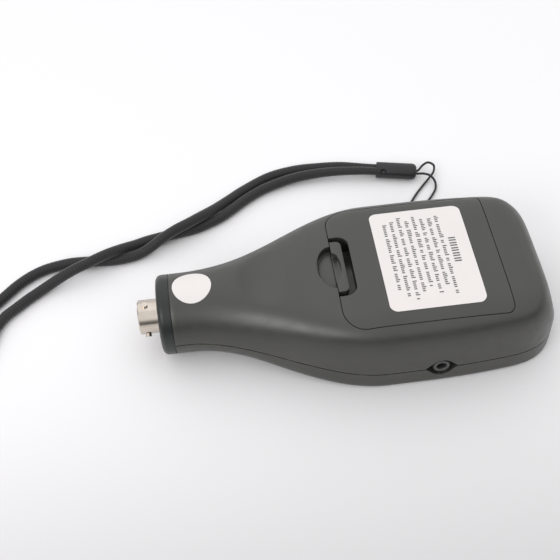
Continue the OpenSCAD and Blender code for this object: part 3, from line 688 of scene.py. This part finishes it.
# %% The cavity inside the back
CELL_D = 10.5
BAY_HALF = (4 * CELL_D + 5 * 0.4) / 2
BAY_X1 = DOOR_X1 - 2.6
BAY_X0 = BAY_X1 - (44.5 + 4.3 + 1.0 + 0.3)
TRAY_Z = CASE_H - DOOR_T - 0.7 - CELL_D - 0.1
LATCH_FLOOR = CASE_H - SPRING_DROP - 1
LATCH_HALF = TAB_W / 2 + SLOT_GAP
SCREW_Y = DOOR_HALF - 4.1
SCREW_AT = [(x, y) for x in (DOOR_X0 + 12.6, DOOR_X1 - 8.4) for y in (-SCREW_Y, SCREW_Y)]
SCREW_SEAT_Z = TRAY_Z - 0.8
WELL_R = 2.7
OUTER = (130, 176)
INNER = (60, 96)

cavity = case_form(WALL, *INNER)
ledge = plate(door_outline(-1.5), TRAY_Z, TALL)
carve(ledge, case_form(SHELF_D + SHELF_T, *INNER))
carve(cavity, ledge)
tray = block(
    (BAY_X0 - TRAY_T, -BAY_HALF - TRAY_T, TRAY_Z - TRAY_T), (BAY_X1 + TRAY_T, BAY_HALF + TRAY_T, TALL)
)
carve(cavity, tray)
latch_box = block(
    (DOOR_X0 - TRAY_T, -LATCH_HALF - TRAY_T, LATCH_FLOOR - TRAY_T), (BAY_X0, LATCH_HALF + TRAY_T, TALL)
)
carve(cavity, latch_box)
for x, y in SCREW_AT:
    carve(cavity, rod((x, y, SCREW_SEAT_Z - TRAY_T), (0, 0, 1), WELL_R + TRAY_T, TALL))
recess_rim = oval(DOOR_X0, RECESS_L + TRAY_T, RECESS_HALF + TRAY_T)
carve(cavity, plate(recess_rim, CASE_H - RECESS_DIP - TRAY_T, TALL))
carve(cavity, jack_eye(TRAY_T, -2 * HALF_W, JACK_SEAT_Y))
print("cavity", len(cavity.data.polygons), "faces")

# %% The shell and its openings
HOOK_YS = (-10.9, 10.9)
HOOK_HALF = 4.0
HOOK_L = 2.0
HOOK_HEEL = 2.2
POCKET_SIDE = 0.6
POCKET_END = 0.8
POCKET_LAP = 0.4
POCKET_DEEP = 5.4
SCREW_HOLE_R = 1.6
HOLE_R = 1.2

back_shell = case_form(0, *OUTER)
carve(back_shell, cavity)
carve(back_shell, split_cutter(-TALL))
opening = plate(door_outline(0), PART_Z, TALL)
carve(opening, case_form(SHELF_D, *INNER))
carve(back_shell, opening)
carve(back_shell, block((BAY_X0, -BAY_HALF, TRAY_Z), (BAY_X1, BAY_HALF, TALL)))
carve(back_shell, block((DOOR_X0 + 0.1, -LATCH_HALF, LATCH_FLOOR), (BAY_X0 - TRAY_T, LATCH_HALF, TALL)))
for x, y in SCREW_AT:
    carve(back_shell, rod((x, y, SCREW_SEAT_Z), (0, 0, 1), WELL_R, TALL))
    carve(back_shell, rod((x, y, 0), (0, 0, 1), SCREW_HOLE_R, TALL))
for y in HOOK_YS:
    pocket = block(
        (BAY_X1 - POCKET_LAP, y - HOOK_HALF - POCKET_SIDE, CASE_H - POCKET_DEEP),
        (DOOR_X1 + HOOK_L + POCKET_END, y + HOOK_HALF + POCKET_SIDE, TALL),
    )
    carve(pocket, case_form(WALL, *INNER), "INTERSECT")
    carve(back_shell, pocket)
carve(back_shell, plate(oval(DOOR_X0, RECESS_L, RECESS_HALF), CASE_H - RECESS_DIP, TALL))
recess_z = CASE_H - RECESS_DIP
recess_line = plate(oval(DOOR_X0, RECESS_L, RECESS_HALF), recess_z - RECESS_LINE_D, recess_z + 0.1)
carve(recess_line, plate(oval(DOOR_X0, RECESS_L - RECESS_LINE_W, RECESS_HALF - RECESS_LINE_W), 0, TALL))
carve(back_shell, recess_line)
carve(back_shell, jack_eye(0, -2 * HALF_W, JACK_FLOOR_Y))
carve(back_shell, jack_hole())
for x in HOLE_XS:
    carve(back_shell, rod((x, 20, HOLE_Z), (0, 1, 0), HOLE_R, 30, 24))
ease_edges(back_shell, 0.2)
settle(back_shell, "back_moulding")
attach(back_shell, "casing")
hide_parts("back_shell")

# %% [markdown]
# ## Front shell
# The front half closes the case under the parting line. Its face carries the keys and the display
# in a shallow panel. It is carved from the same form, so the two halves meet without a step, and a
# fine groove all round leaves the dark line that shows in the photograph.

# %% The front half
PANEL_DIP = 0.8
LINE_H = 0.5
LINE_D = 1.0
KEY_XS = (NECK_X + 65, NECK_X + 81)
KEY_YS = (-13, 0, 13)
KEY_HOLE_R = 4.9
WINDOW_X = NECK_X + 119.5
WINDOW_SIZE = (26, 34)
LENS_T = PANEL_DIP + 0.4
LENS_LAP = 2.0
BOARD_Z = 8.2
BOARD_SCREW_AT = [(NECK_X + 40, 0), (NECK_X + 91.5, -15.5), (NECK_X + 91.5, 15.5)]
BOSS_TOP_Z = SCREW_SEAT_Z - TRAY_T
BOSS_R = 3.2
BOSS_FOOT_Z = FRONT_WALL - 0.6
PILOT_R = 1.45
BOARD_BOSS_R = 2.3
BOARD_PILOT_R = 1.0


def panel_outline():
    """The shallow panel: square round the display, narrowing towards the neck."""
    far, mid, near = WINDOW_X + WINDOW_SIZE[0] / 2, KEY_XS[0] - 4, KEY_XS[0] - 24
    half = arc(far, WINDOW_SIZE[1] / 2 - 1, 3, 0, 90) + arc(mid, 15, 6, 92, 112) + arc(near, 5, 6, 116, 180)
    return half + [(x, -y) for x, y in reversed(half)]


def window_block(inset, z0, z1):
    half_l, half_w = WINDOW_SIZE[0] / 2 - inset, WINDOW_SIZE[1] / 2 - inset
    return block((WINDOW_X - half_l, -half_w, z0), (WINDOW_X + half_l, half_w, z1))


front_shell = case_form(0, *OUTER)
cavity = case_form(WALL, *INNER)
carve(cavity, block((-TALL * 2, -TALL, -TALL), (TALL * 2, TALL, FRONT_WALL)))
for x, y in BOARD_SCREW_AT:
    carve(cavity, rod((x, y, 0), (0, 0, 1), BOARD_BOSS_R, BOARD_Z))
carve(cavity, jack_eye(TRAY_T, -2 * HALF_W, JACK_SEAT_Y))
carve(front_shell, cavity)
carve(front_shell, split_cutter(TALL))
carve(front_shell, block((-TALL * 2, -TALL, -TALL), (TALL * 2, TALL, 0)))
groove = split_cutter(TALL, LINE_H)
carve(groove, case_form(LINE_D, *INNER))
carve(front_shell, groove)
for x, y in SCREW_AT:
    carve(front_shell, rod((x, y, BOSS_FOOT_Z), (0, 0, 1), BOSS_R, BOSS_TOP_Z - BOSS_FOOT_Z), "UNION")
    carve(front_shell, rod((x, y, PART_Z - 1), (0, 0, 1), PILOT_R, CASE_H))
carve(front_shell, plate(panel_outline(), -1, PANEL_DIP))
carve(front_shell, window_block(0, -1, PANEL_DIP + LENS_T))
carve(front_shell, window_block(LENS_LAP, -1, 2 * FRONT_WALL))
for x in KEY_XS:
    for y in KEY_YS:
        carve(front_shell, rod((x, y, -1), (0, 0, 1), KEY_HOLE_R, FRONT_WALL + 2))
for x, y in BOARD_SCREW_AT:
    carve(front_shell, rod((x, y, FRONT_WALL + 1), (0, 0, 1), BOARD_PILOT_R, CASE_H, 24))
carve(front_shell, jack_eye(0, -2 * HALF_W, JACK_FLOOR_Y))
carve(front_shell, jack_hole())
ease_edges(front_shell, 0.15)
settle(front_shell, "front_moulding")
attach(front_shell, "casing")
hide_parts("front_shell")

# %% [markdown]
# ## Jack bush
# A short bush lines the mouth of the data jack and stands out into the almond-shaped recess, so a grey
# ring shows inside a dark gap. A lathe would turn it from a bar: a cylinder is bored and its rims are
# eased.

# %% The bush in the recess
BUSH_R = 3.2
BUSH_BORE_R = 1.9
BUSH_SET = 0.5

jack_front = box_mm("data_jack")[0].y
bush = rod((JACK_X, jack_front, PART_Z), (0, -1, 0), BUSH_R, jack_front + HALF_W - BUSH_SET)
carve(bush, rod((JACK_X, jack_front + 1, PART_Z), (0, -1, 0), BUSH_BORE_R, TALL))
ease_edges(bush, 0.35, segments=3)
settle(bush, "jack_bush")
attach(bush, "casing")

# %% [markdown]
# ## Battery door
# The door is a lid cut from the same crowned back, with a press tab at its neck end. A thin U-shaped
# leaf under the slot springs the tab, and two hooks hold the other end. The lid and the tab come
# from the case's form, so their tops stay flush with the back.

# %% The lid, the tab, the leaf spring and the hooks


def back_slice(outline, depth, rings=OUTER):
    """What a plan outline takes out of the back's outer wall, down to a depth."""
    piece = plate(outline, PART_Z + 6, TALL)
    carve(piece, case_form(0, *rings), "INTERSECT")
    return carve(piece, case_form(depth, *INNER))


door = back_slice(door_outline(DOOR_GAP), DOOR_T)
carve(door, plate(tab_outline(SLOT_L, TAB_W + 2 * SLOT_GAP, SLOT_CORNER), PART_Z, TALL))
tab_plate = plate(tab_outline(TAB_L, TAB_W, TAB_CORNER), PART_Z, TALL)
carve(tab_plate, plate(door_outline(DOOR_GAP), PART_Z + 1, TALL - 1), "INTERSECT")
carve(tab_plate, case_form(0, *OUTER), "INTERSECT")
tab = carve(tab_plate, case_form(TAB_T, *INNER))
carve(tab, plate(oval(DOOR_X0, *TAB_DISH_HALF), CASE_H - TAB_DISH, TALL))
carve(tab, rod((*PIP_AT, CASE_H - TAB_DISH - 0.6), (0, 0, 1), PIP_R, TALL, 24))
carve(tab, rod((*PIP_AT, CASE_H - TAB_DISH - 1), (0, 0, 1), PIP_R / 2, 0.9, 24), "UNION")
SPRING_HALF = TAB_W / 2 - 3
LEG_A = DOOR_X0 + TAB_L - LEG_SET - SPRING_T
LEG_B = DOOR_X0 + SLOT_L + LEG_SET
FOOT_Z = CASE_H - SPRING_DROP
leaf = block((LEG_A, -SPRING_HALF, FOOT_Z), (LEG_B + SPRING_T, SPRING_HALF, CASE_H))
carve(leaf, block((LEG_A + SPRING_T, -TALL, FOOT_Z + SPRING_T), (LEG_B, TALL, TALL)))
carve(leaf, case_form(DOOR_T / 2, *INNER), "INTERSECT")
carve(tab, leaf, "UNION")
carve(door, tab, "UNION")
HOOK_D = WALL + 0.3
HOOK_T = 1.4
HOOK_FOOT_Z = CASE_H - 8
STEM_X = DOOR_X1 - 0.9
TOE_X = DOOR_X1 - 1.8
for y in HOOK_YS:
    tip = (DOOR_X1 + HOOK_L, y + HOOK_HALF, CASE_H)
    hook = block((DOOR_X1 - HOOK_HEEL, y - HOOK_HALF, HOOK_FOOT_Z), tip)
    carve(hook, block((STEM_X, -TALL, HOOK_FOOT_Z - 1), (TALL * 2, TALL, TALL)))
    carve(hook, case_form(DOOR_T / 2, *INNER), "INTERSECT")
    carve(hook, case_form(HOOK_D + HOOK_T, *INNER))
    toe = block((TOE_X, y - HOOK_HALF, HOOK_FOOT_Z), tip)
    carve(toe, case_form(HOOK_D, *INNER), "INTERSECT")
    carve(toe, case_form(HOOK_D + HOOK_T, *INNER))
    carve(hook, toe, "UNION")
    carve(door, hook, "UNION")
ease_edges(door, 0.25)
settle(door, "door_moulding")
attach(door, "door")
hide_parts("battery_door")

# %% [markdown]
# ## Labels
# Two thin white films lie on the back: a rounded oblong on the door and a round one on the neck.
# A flat plane would cut into the crowned back, so a fine grid is laid on the surface, trimmed to its
# outline and given the film's thickness. The door's label carries plain bars in rows for its print.

# %% Films laid on the back
LABEL_T = 0.15
LABEL_X = NECK_X + 98
LABEL_SIZE = (36.0, 48.7)
LABEL_CORNER = 3.0
BADGE_X = NECK_X + 8.6
BADGE_R = 7.4
BADGE_HALF = NECK_R * math.sin(BADGE_R / NECK_R)


def film(outline, lift, thickness):
    """A film with this outline in plan, lying on the back."""
    xs, ys = zip(*outline)
    sheet = plate(outline, 0, TALL)
    clear_selection()
    middle = ((min(xs) + max(xs)) / 2, (min(ys) + max(ys)) / 2, CASE_H / 2)
    bpy.ops.mesh.primitive_grid_add(x_subdivisions=44, y_subdivisions=56, size=1, location=middle)
    grid = bpy.context.object
    grid.scale = (max(xs) - min(xs) + 2, max(ys) - min(ys) + 2, 1)
    apply_place(grid)
    carve(grid, sheet, "INTERSECT")
    edit_all(grid)
    bpy.ops.mesh.remove_doubles(threshold=0.02)
    object_mode()
    for vertex in grid.data.vertices:
        x, y, z = vertex.co
        vertex.co.z = back_height(x, y) + lift
    solid = grid.modifiers.new("thickness", "SOLIDIFY")
    solid.thickness = thickness
    solid.offset = 1
    apply_modifiers(grid)
    pick(grid)
    bpy.ops.object.shade_smooth_by_angle(angle=math.radians(40))
    return grid


def label_outline(grow=0.0):
    x, y = LABEL_SIZE[0] / 2 - LABEL_CORNER, LABEL_SIZE[1] / 2 - LABEL_CORNER
    r = LABEL_CORNER + grow
    low, high = LABEL_X - x, LABEL_X + x
    neck_end = arc(low, y, r, 90, 180) + arc(low, -y, r, 180, 270)
    return arc(high, -y, r, -90, 0) + arc(high, y, r, 0, 90) + neck_end


door_label = settle(film(label_outline(), 0.0, LABEL_T), "door_film")
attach(door_label, "door")
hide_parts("door_label")
badge = settle(film(oval(BADGE_X, BADGE_R, BADGE_HALF), 0.0, LABEL_T), "neck_film")
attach(badge, "casing")
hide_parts("neck_label")

# %% [markdown]
# ## Print on the door's label
# The label carries a short title and eight ragged lines. Only their look is wanted, so each letter is
# a plain bar, some bars are taller, and a letter of the title is two strokes. Rows start and end at
# measured places. Word lengths come from a seeded shuffle, so that every run gives the same print.

# %% Bars for the letters
TITLE_ROW = 10.2
FIRST_ROW = 7.2
ROW_PITCH = 2.96
ROW_STARTS = (19.6, 18.6, 18.8, 20.4, 18.4, 20.6, 18.8, 17.6)
ROW_ENDS = (-19.5, -15.4, -18.6, -14.6, -17.0, -20.0, -18.8, -15.6)
LETTER_W = 0.5
LETTER_GAP = 0.42
LETTER_HS = (1.1, 1.1, 1.1, 1.6)
WORD_GAP = 0.9
WORD_LETTERS = (2, 8)
TITLE_SPAN = (7.6, -4.6)
TITLE_LETTER = (1.8, 0.8, 2.7)
TITLE_STROKE = 0.6
INK_LIFT = 0.03
letters = random.Random(7)


def letter_bar(x, y, width, height):
    """The four corners of one letter's bar, lying on the film."""
    corners = ((x, y), (x, y - width), (x + height, y - width), (x + height, y))
    return [Vector((cx, cy, back_height(cx, cy) + LABEL_T + INK_LIFT)) for cx, cy in corners]


bars = []
y = TITLE_SPAN[0]
while y > TITLE_SPAN[1]:
    for stroke_y in (y, y - TITLE_LETTER[0] + TITLE_STROKE):
        bars.append(letter_bar(LABEL_X + TITLE_ROW, stroke_y, TITLE_STROKE, TITLE_LETTER[2]))
    y -= TITLE_LETTER[0] + TITLE_LETTER[1]
for row, (start, end) in enumerate(zip(ROW_STARTS, ROW_ENDS)):
    y = start
    foot = LABEL_X + FIRST_ROW - row * ROW_PITCH
    left = letters.randint(*WORD_LETTERS)
    while y > end:
        bars.append(letter_bar(foot, y, LETTER_W, letters.choice(LETTER_HS)))
        left -= 1
        y -= LETTER_W + LETTER_GAP
        if left == 0:
            y -= WORD_GAP
            left = letters.randint(*WORD_LETTERS)
print_mesh = bpy.data.meshes.new("label_print")
bar_corners = [corner for bar in bars for corner in bar]
bar_faces = [tuple(range(4 * i + 3, 4 * i - 1, -1)) for i in range(len(bars))]
print_mesh.from_pydata(bar_corners, [], bar_faces)
label_print = bpy.data.objects.new("label_print", print_mesh)
bpy.context.scene.collection.objects.link(label_print)
ink = label_print.modifiers.new("ink", "SOLIDIFY")
ink.thickness = INK_LIFT
ink.offset = -1
apply_modifiers(label_print)
edit_all(label_print)
bpy.ops.mesh.normals_make_consistent(inside=False)
object_mode()
settle(label_print, "label_print")
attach(label_print, "door")
print("letters", len(bars))

# %% [markdown]
# ## Finishes
# Each finish is one shader with its own small breaks of colour, gloss and surface. The patterns read
# Object coordinates, so they stay on the piece when the door opens. Small helpers add the grain, the
# mottling and the uneven gloss, and each finish then says which of them the real material shows.

# %% Helpers for shaders


def new_finish(name, colour, roughness, metallic=0.0):
    material = bpy.data.materials.new(name)
    material.use_nodes = True
    shader = material.node_tree.nodes["Principled BSDF"]
    shader.inputs["Base Color"].default_value = (*colour, 1)
    shader.inputs["Roughness"].default_value = roughness
    shader.inputs["Metallic"].default_value = metallic
    return material, material.node_tree, shader


def noise(tree, scale, detail=2.0, stretch=(1, 1, 1), source="Object"):
    """A cloud of light and dark over the piece, with features about 1/scale metres across."""
    place = tree.nodes.new("ShaderNodeTexCoord")
    mapping = tree.nodes.new("ShaderNodeMapping")
    mapping.inputs["Scale"].default_value = stretch
    cloud = tree.nodes.new("ShaderNodeTexNoise")
    cloud.inputs["Scale"].default_value = scale
    cloud.inputs["Detail"].default_value = detail
    tree.links.new(place.outputs[source], mapping.inputs["Vector"])
    tree.links.new(mapping.outputs["Vector"], cloud.inputs["Vector"])
    return cloud.outputs["Fac"]


def mottle(tree, shader, factor, stops):
    """Colours the piece by a factor: stops are pairs of place and colour."""
    ramp = tree.nodes.new("ShaderNodeValToRGB")
    ramp.color_ramp.elements[0].position, first = stops[0]
    ramp.color_ramp.elements[0].color = (*first, 1)
    ramp.color_ramp.elements[1].position, last = stops[-1]
    ramp.color_ramp.elements[1].color = (*last, 1)
    for place, colour in stops[1:-1]:
        ramp.color_ramp.elements.new(place).color = (*colour, 1)
    tree.links.new(factor, ramp.inputs["Fac"])
    tree.links.new(ramp.outputs["Color"], shader.inputs["Base Color"])


def uneven_gloss(tree, shader, factor, low, high):
    spread = tree.nodes.new("ShaderNodeMapRange")
    spread.inputs["From Min"].default_value = 0.3
    spread.inputs["From Max"].default_value = 0.7
    spread.inputs["To Min"].default_value = low
    spread.inputs["To Max"].default_value = high
    tree.links.new(factor, spread.inputs["Value"])
    tree.links.new(spread.outputs["Result"], shader.inputs["Roughness"])


def grain(tree, shader, factor, depth, strength=0.5):
    """Raises the surface by a factor, depth metres high."""
    bump = tree.nodes.new("ShaderNodeBump")
    bump.inputs["Strength"].default_value = strength
    bump.inputs["Distance"].default_value = depth
    tree.links.new(factor, bump.inputs["Height"])
    tree.links.new(bump.outputs["Normal"], shader.inputs["Normal"])


def shade(colour, share):
    return tuple(c * share for c in colour)


FINISH = {}

# %% [markdown]
# ## Moulded plastics
# The case is a grey-green plastic from a mould with a fine eroded texture, so it shines only softly.
# The cap, the jack and the sleeve are smoother and darker.

# %% Case, cap, black parts and sleeve
CASE_GREY = (0.035, 0.035, 0.03)
CAP_GREY = (0.011, 0.013, 0.0128)


def moulded(slot, name, colour, roughness, texture_scale, depth, strength, shine=0.75):
    material, tree, shader = new_finish(name, colour, roughness)
    shader.inputs["Specular IOR Level"].default_value = shine
    cloud = noise(tree, 60, 4)
    mottle(tree, shader, cloud, [(0.3, shade(colour, 0.92)), (0.7, shade(colour, 1.08))])
    uneven_gloss(tree, shader, noise(tree, 240, 3), roughness - 0.05, roughness + 0.05)
    grain(tree, shader, noise(tree, texture_scale, 2), depth, strength)
    FINISH[slot] = material
    return material


moulded("case", "eroded_grey_plastic", CASE_GREY, 0.37, 2200, 0.00006, 0.5)
moulded("cap", "cap_plastic", CAP_GREY, 0.36, 1500, 0.00003, 0.3, 0.55)
moulded("black_plastic", "jack_plastic", (0.03, 0.03, 0.031), 0.34, 900, 0.00002, 0.2)
moulded("bush", "bush_plastic", (0.05, 0.05, 0.049), 0.3, 900, 0.00002, 0.2)
moulded("sleeve", "sleeve_plastic", (0.01, 0.01, 0.012), 0.45, 900, 0.00004, 0.3, 0.55)
moulded("white_plastic", "frame_plastic", (0.78, 0.78, 0.76), 0.5, 900, 0.00002, 0.2)
print("moulded plastics", len(FINISH))

# %% [markdown]
# ## Metals
# The socket is turned brass with a bright nickel plate, which keeps fine turning marks round its
# axis. The springs and the screws are plated steel, and the contacts are gilt.

# %% Nickel, steel and gilt


def plated(slot, name, colour, roughness, stretch):
    material, tree, shader = new_finish(name, colour, roughness, 1.0)
    mottle(tree, shader, noise(tree, 180, 4), [(0.3, shade(colour, 0.86)), (0.7, colour)])
    marks = noise(tree, 900, 3, stretch)
    uneven_gloss(tree, shader, marks, roughness - 0.06, roughness + 0.08)
    grain(tree, shader, marks, 0.00001, 0.25)
    FINISH[slot] = material


plated("nickel", "nickel_plate", (0.68, 0.61, 0.54), 0.14, (6, 0.4, 0.4))
plated("steel", "zinc_plate", (0.58, 0.58, 0.59), 0.32, (1, 1, 1))
plated("gold_contact", "gilt_contact", (0.8, 0.6, 0.25), 0.26, (4, 1, 1))

# %% [markdown]
# ## Labels, rubber, board and display
# These pieces differ mostly in colour and gloss. The label is a coated film, the keys and the mat
# are silicone rubber, the board has a green lacquer, and the display is glass over a grey-green film.

# %% The remaining finishes


def plain(slot, name, colour, roughness, scale, variation, depth):
    material, tree, shader = new_finish(name, colour, roughness)
    cloud = noise(tree, scale, 3)
    mottle(tree, shader, cloud, [(0.3, shade(colour, 1 - variation)), (0.7, shade(colour, 1 + variation))])
    uneven_gloss(tree, shader, cloud, roughness - 0.05, roughness + 0.05)
    grain(tree, shader, noise(tree, scale * 4, 2), depth, 0.3)
    FINISH[slot] = material
    return material


plain("label", "label_film", (0.81, 0.77, 0.755), 0.4, 120, 0.012, 0.00001)
plain("lead_red", "wire_cover", (0.5, 0.03, 0.03), 0.35, 300, 0.08, 0.00001)
plain("board", "board_lacquer", (0.02, 0.14, 0.06), 0.3, 400, 0.25, 0.00003)
plain("lcd", "display_film", (0.42, 0.48, 0.38), 0.2, 60, 0.03, 0.000005)
plain("strip_rubber", "strip_rubber", (0.03, 0.03, 0.03), 0.6, 500, 0.2, 0.00003)
plain("mat_rubber", "mat_rubber", (0.6, 0.6, 0.58), 0.6, 300, 0.04, 0.00003)
plain("key", "key_rubber", (0.1, 0.13, 0.2), 0.55, 400, 0.08, 0.00003)
label_ink = plain("ink", "label_ink", (0.13, 0.127, 0.127), 0.5, 900, 0.15, 0.00001)

window_glass, tree, shader = new_finish("window_glass", (0.8, 0.85, 0.85), 0.06)
shader.inputs["Transmission Weight"].default_value = 0.9
uneven_gloss(tree, shader, noise(tree, 200, 3), 0.04, 0.09)
FINISH["window"] = window_glass

# %% [markdown]
# ## Cells
# Each cell has a printed sleeve with a band of bare metal at one end. The cells lie turned end for
# end, so there is one wrap for each way round, coloured by the place along the case.

# %% Printed cell sleeves
CELL_WRAP = (0.05, 0.12, 0.3)
CELL_BAND = (0.62, 0.5, 0.2)
CELL_METAL = (0.6, 0.6, 0.6)


def cell_wrap(name, start, end):
    """A sleeve whose band lies at start, along X in metres."""
    material, tree, shader = new_finish(name, CELL_WRAP, 0.3)
    place = tree.nodes.new("ShaderNodeTexCoord")
    split = tree.nodes.new("ShaderNodeSeparateXYZ")
    span = tree.nodes.new("ShaderNodeMapRange")
    span.inputs["From Min"].default_value = start
    span.inputs["From Max"].default_value = end
    tree.links.new(place.outputs["Object"], split.inputs["Vector"])
    tree.links.new(split.outputs["X"], span.inputs["Value"])
    stops = [
        (0.0, CELL_METAL), (0.035, CELL_METAL), (0.04, CELL_BAND),
        (0.25, CELL_BAND), (0.255, CELL_WRAP), (1.0, CELL_WRAP),
    ]
    mottle(tree, shader, span.outputs["Result"], stops)
    uneven_gloss(tree, shader, noise(tree, 300, 3), 0.24, 0.36)
    return material


low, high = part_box("cell_1")
wrap_forward = cell_wrap("cell_wrap_forward", high[0], low[0])
low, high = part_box("cell_2")
wrap_back = cell_wrap("cell_wrap_back", low[0], high[0])

# %% [markdown]
# ## Braided cord
# The strap's yarns cross as fine diamonds. The tube already carries them as a shape, and the shader
# follows the cord's own UV map to paint shade into the valleys between the yarns and to add the fibres.

# %% The cord's yarns
cord_black = (0.014, 0.014, 0.015)
cord_yarn, tree, shader = new_finish("braided_yarn", cord_black, 0.62)
shader.inputs["Sheen Weight"].default_value = 0.25
shader.inputs["Sheen Roughness"].default_value = 0.4
fibres = noise(tree, 1.0, 3, (60, 4, 1), "UV")
mottle(tree, shader, fibres, [(0.3, shade(cord_black, 0.6)), (0.7, shade(cord_black, 2.2))])
grain(tree, shader, fibres, 0.00015, 0.6)
place = tree.nodes.new("ShaderNodeTexCoord")
lattice = tree.nodes.new("ShaderNodeMapping")
lattice.inputs["Scale"].default_value = (*YARN_LATTICE, 1)
lattice.inputs["Rotation"].default_value = (0, 0, math.radians(45))
# Painted shade: every other diamond of the lattice is darkened to 0.6 of the yarn colour, as shade in the
# valleys between the yarns; the other diamonds keep the fibres' colour.
yarns_and_valley_shade = tree.nodes.new("ShaderNodeTexChecker")
yarns_and_valley_shade.inputs["Scale"].default_value = math.sqrt(2)
yarns_and_valley_shade.inputs["Color2"].default_value = (*shade(cord_black, 0.6), 1)
tree.links.new(shader.inputs["Base Color"].links[0].from_socket, yarns_and_valley_shade.inputs["Color1"])
tree.links.new(place.outputs["UV"], lattice.inputs["Vector"])
tree.links.new(lattice.outputs["Vector"], yarns_and_valley_shade.inputs["Vector"])
tree.links.new(yarns_and_valley_shade.outputs["Color"], shader.inputs["Base Color"])
FINISH["cord"] = cord_yarn

# %% Give every piece its finish
for part in frame["record"]["subparts"]:
    mesh = nodes[part["node"]].data
    mesh.materials.clear()
    mesh.materials.append(FINISH.get(part["material_slot"], label_ink))
for number in range(1, 5):
    mesh = nodes["cell_" + str(number)].data
    mesh.materials.clear()
    mesh.materials.append(wrap_back if number % 2 == 0 else wrap_forward)
for piece, slot in (
    (strap, "cord"), (loops[0][0], "cord"), (loops[1][0], "cord"), (sleeve, "sleeve"),
    (back_shell, "case"), (front_shell, "case"), (door, "case"), (bush, "bush"),
    (door_label, "label"), (badge, "label"), (label_print, "ink"),
):
    piece.data.materials.clear()
    piece.data.materials.append(FINISH[slot])
print("finishes", len(FINISH))

# %% [markdown]
# ## Stage
# A pale floor carries a soft shadow, and painted shade darkens it a little towards the viewer. The light of
# the photograph is a wide one from above, stronger from behind, and dim low on the near side. The world
# gives the wide part, by the height of the direction in a tilted sky. A large lamp behind adds to it,
# and a smaller one at the neck's near side draws the soft streak along the shoulder.

# %% Floor, lamps and world
FLOOR_COLOUR = (0.92, 0.91, 0.925)
# Share of the floor's colour left at the near edge: painted shade, not a change of the floor itself.
FLOOR_NEAR_SHADE = 0.54
FLOOR_SHADE_SPAN = (-0.2, 0.02)
SKY_TILT = math.radians(12)
SKY_SPAN = (-0.25, 1.0)
SKY = [(0.0, 0.1), (0.28, 0.25), (0.46, 0.85), (0.62, 1.0), (1.0, 1.0)]
clear_selection()
bpy.ops.mesh.primitive_plane_add(size=6, location=(0, 0, -0.0002))
floor = bpy.context.object
floor.name = "floor"
floor_paper, tree, shader = new_finish("floor_paper", FLOOR_COLOUR, 0.9)
# Painted shade: the floor's colour grows darker towards the viewer, a painted fall-off of the light.
place = tree.nodes.new("ShaderNodeTexCoord")
split = tree.nodes.new("ShaderNodeSeparateXYZ")
painted_floor_shade = tree.nodes.new("ShaderNodeMapRange")
painted_floor_shade.interpolation_type = "SMOOTHSTEP"
painted_floor_shade.inputs["From Min"].default_value = FLOOR_SHADE_SPAN[0]
painted_floor_shade.inputs["From Max"].default_value = FLOOR_SHADE_SPAN[1]
tree.links.new(place.outputs["Object"], split.inputs["Vector"])
tree.links.new(split.outputs["Y"], painted_floor_shade.inputs["Value"])
mottle(tree, shader, painted_floor_shade.outputs["Result"], [(0.0, shade(FLOOR_COLOUR, FLOOR_NEAR_SHADE)), (1.0, FLOOR_COLOUR)])
floor.data.materials.append(floor_paper)


def soft_lamp(name, place, size, power):
    data = bpy.data.lights.new(name, "AREA")
    data.shape = "DISK"
    data.size = size
    data.energy = power
    lamp = bpy.data.objects.new(name, data)
    bpy.context.scene.collection.objects.link(lamp)
    lamp.location = place
    lamp.rotation_euler = (-Vector(place)).to_track_quat("-Z", "Y").to_euler()
    return lamp


soft_lamp("key_lamp", (-0.35, 0.6, 1.0), 1.4, 1.0)
soft_lamp("fill_lamp", (-0.62, -0.58, 0.6), 0.55, 2.6)

world = bpy.data.worlds.new("studio")
bpy.context.scene.world = world
world.use_nodes = True
tree = world.node_tree
background = tree.nodes["Background"]
background.inputs["Strength"].default_value = 1.0
place = tree.nodes.new("ShaderNodeTexCoord")
tilt = tree.nodes.new("ShaderNodeMapping")
tilt.inputs["Rotation"].default_value = (SKY_TILT, 0, 0)
split = tree.nodes.new("ShaderNodeSeparateXYZ")
span = tree.nodes.new("ShaderNodeMapRange")
span.inputs["From Min"].default_value = SKY_SPAN[0]
span.inputs["From Max"].default_value = SKY_SPAN[1]
ramp = tree.nodes.new("ShaderNodeValToRGB")
ramp.color_ramp.elements[0].color = (SKY[0][1], SKY[0][1], SKY[0][1], 1)
ramp.color_ramp.elements[1].color = (SKY[-1][1], SKY[-1][1], SKY[-1][1], 1)
for height, level in SKY[1:-1]:
    ramp.color_ramp.elements.new(height).color = (level, level, level, 1)
tree.links.new(place.outputs["Generated"], tilt.inputs["Vector"])
tree.links.new(tilt.outputs["Vector"], split.inputs["Vector"])
tree.links.new(split.outputs["Z"], span.inputs["Value"])
tree.links.new(span.outputs["Result"], ramp.inputs["Fac"])
tree.links.new(ramp.outputs["Color"], background.inputs["Color"])
bpy.context.scene.view_settings.view_transform = "Standard"
print("stage ready")
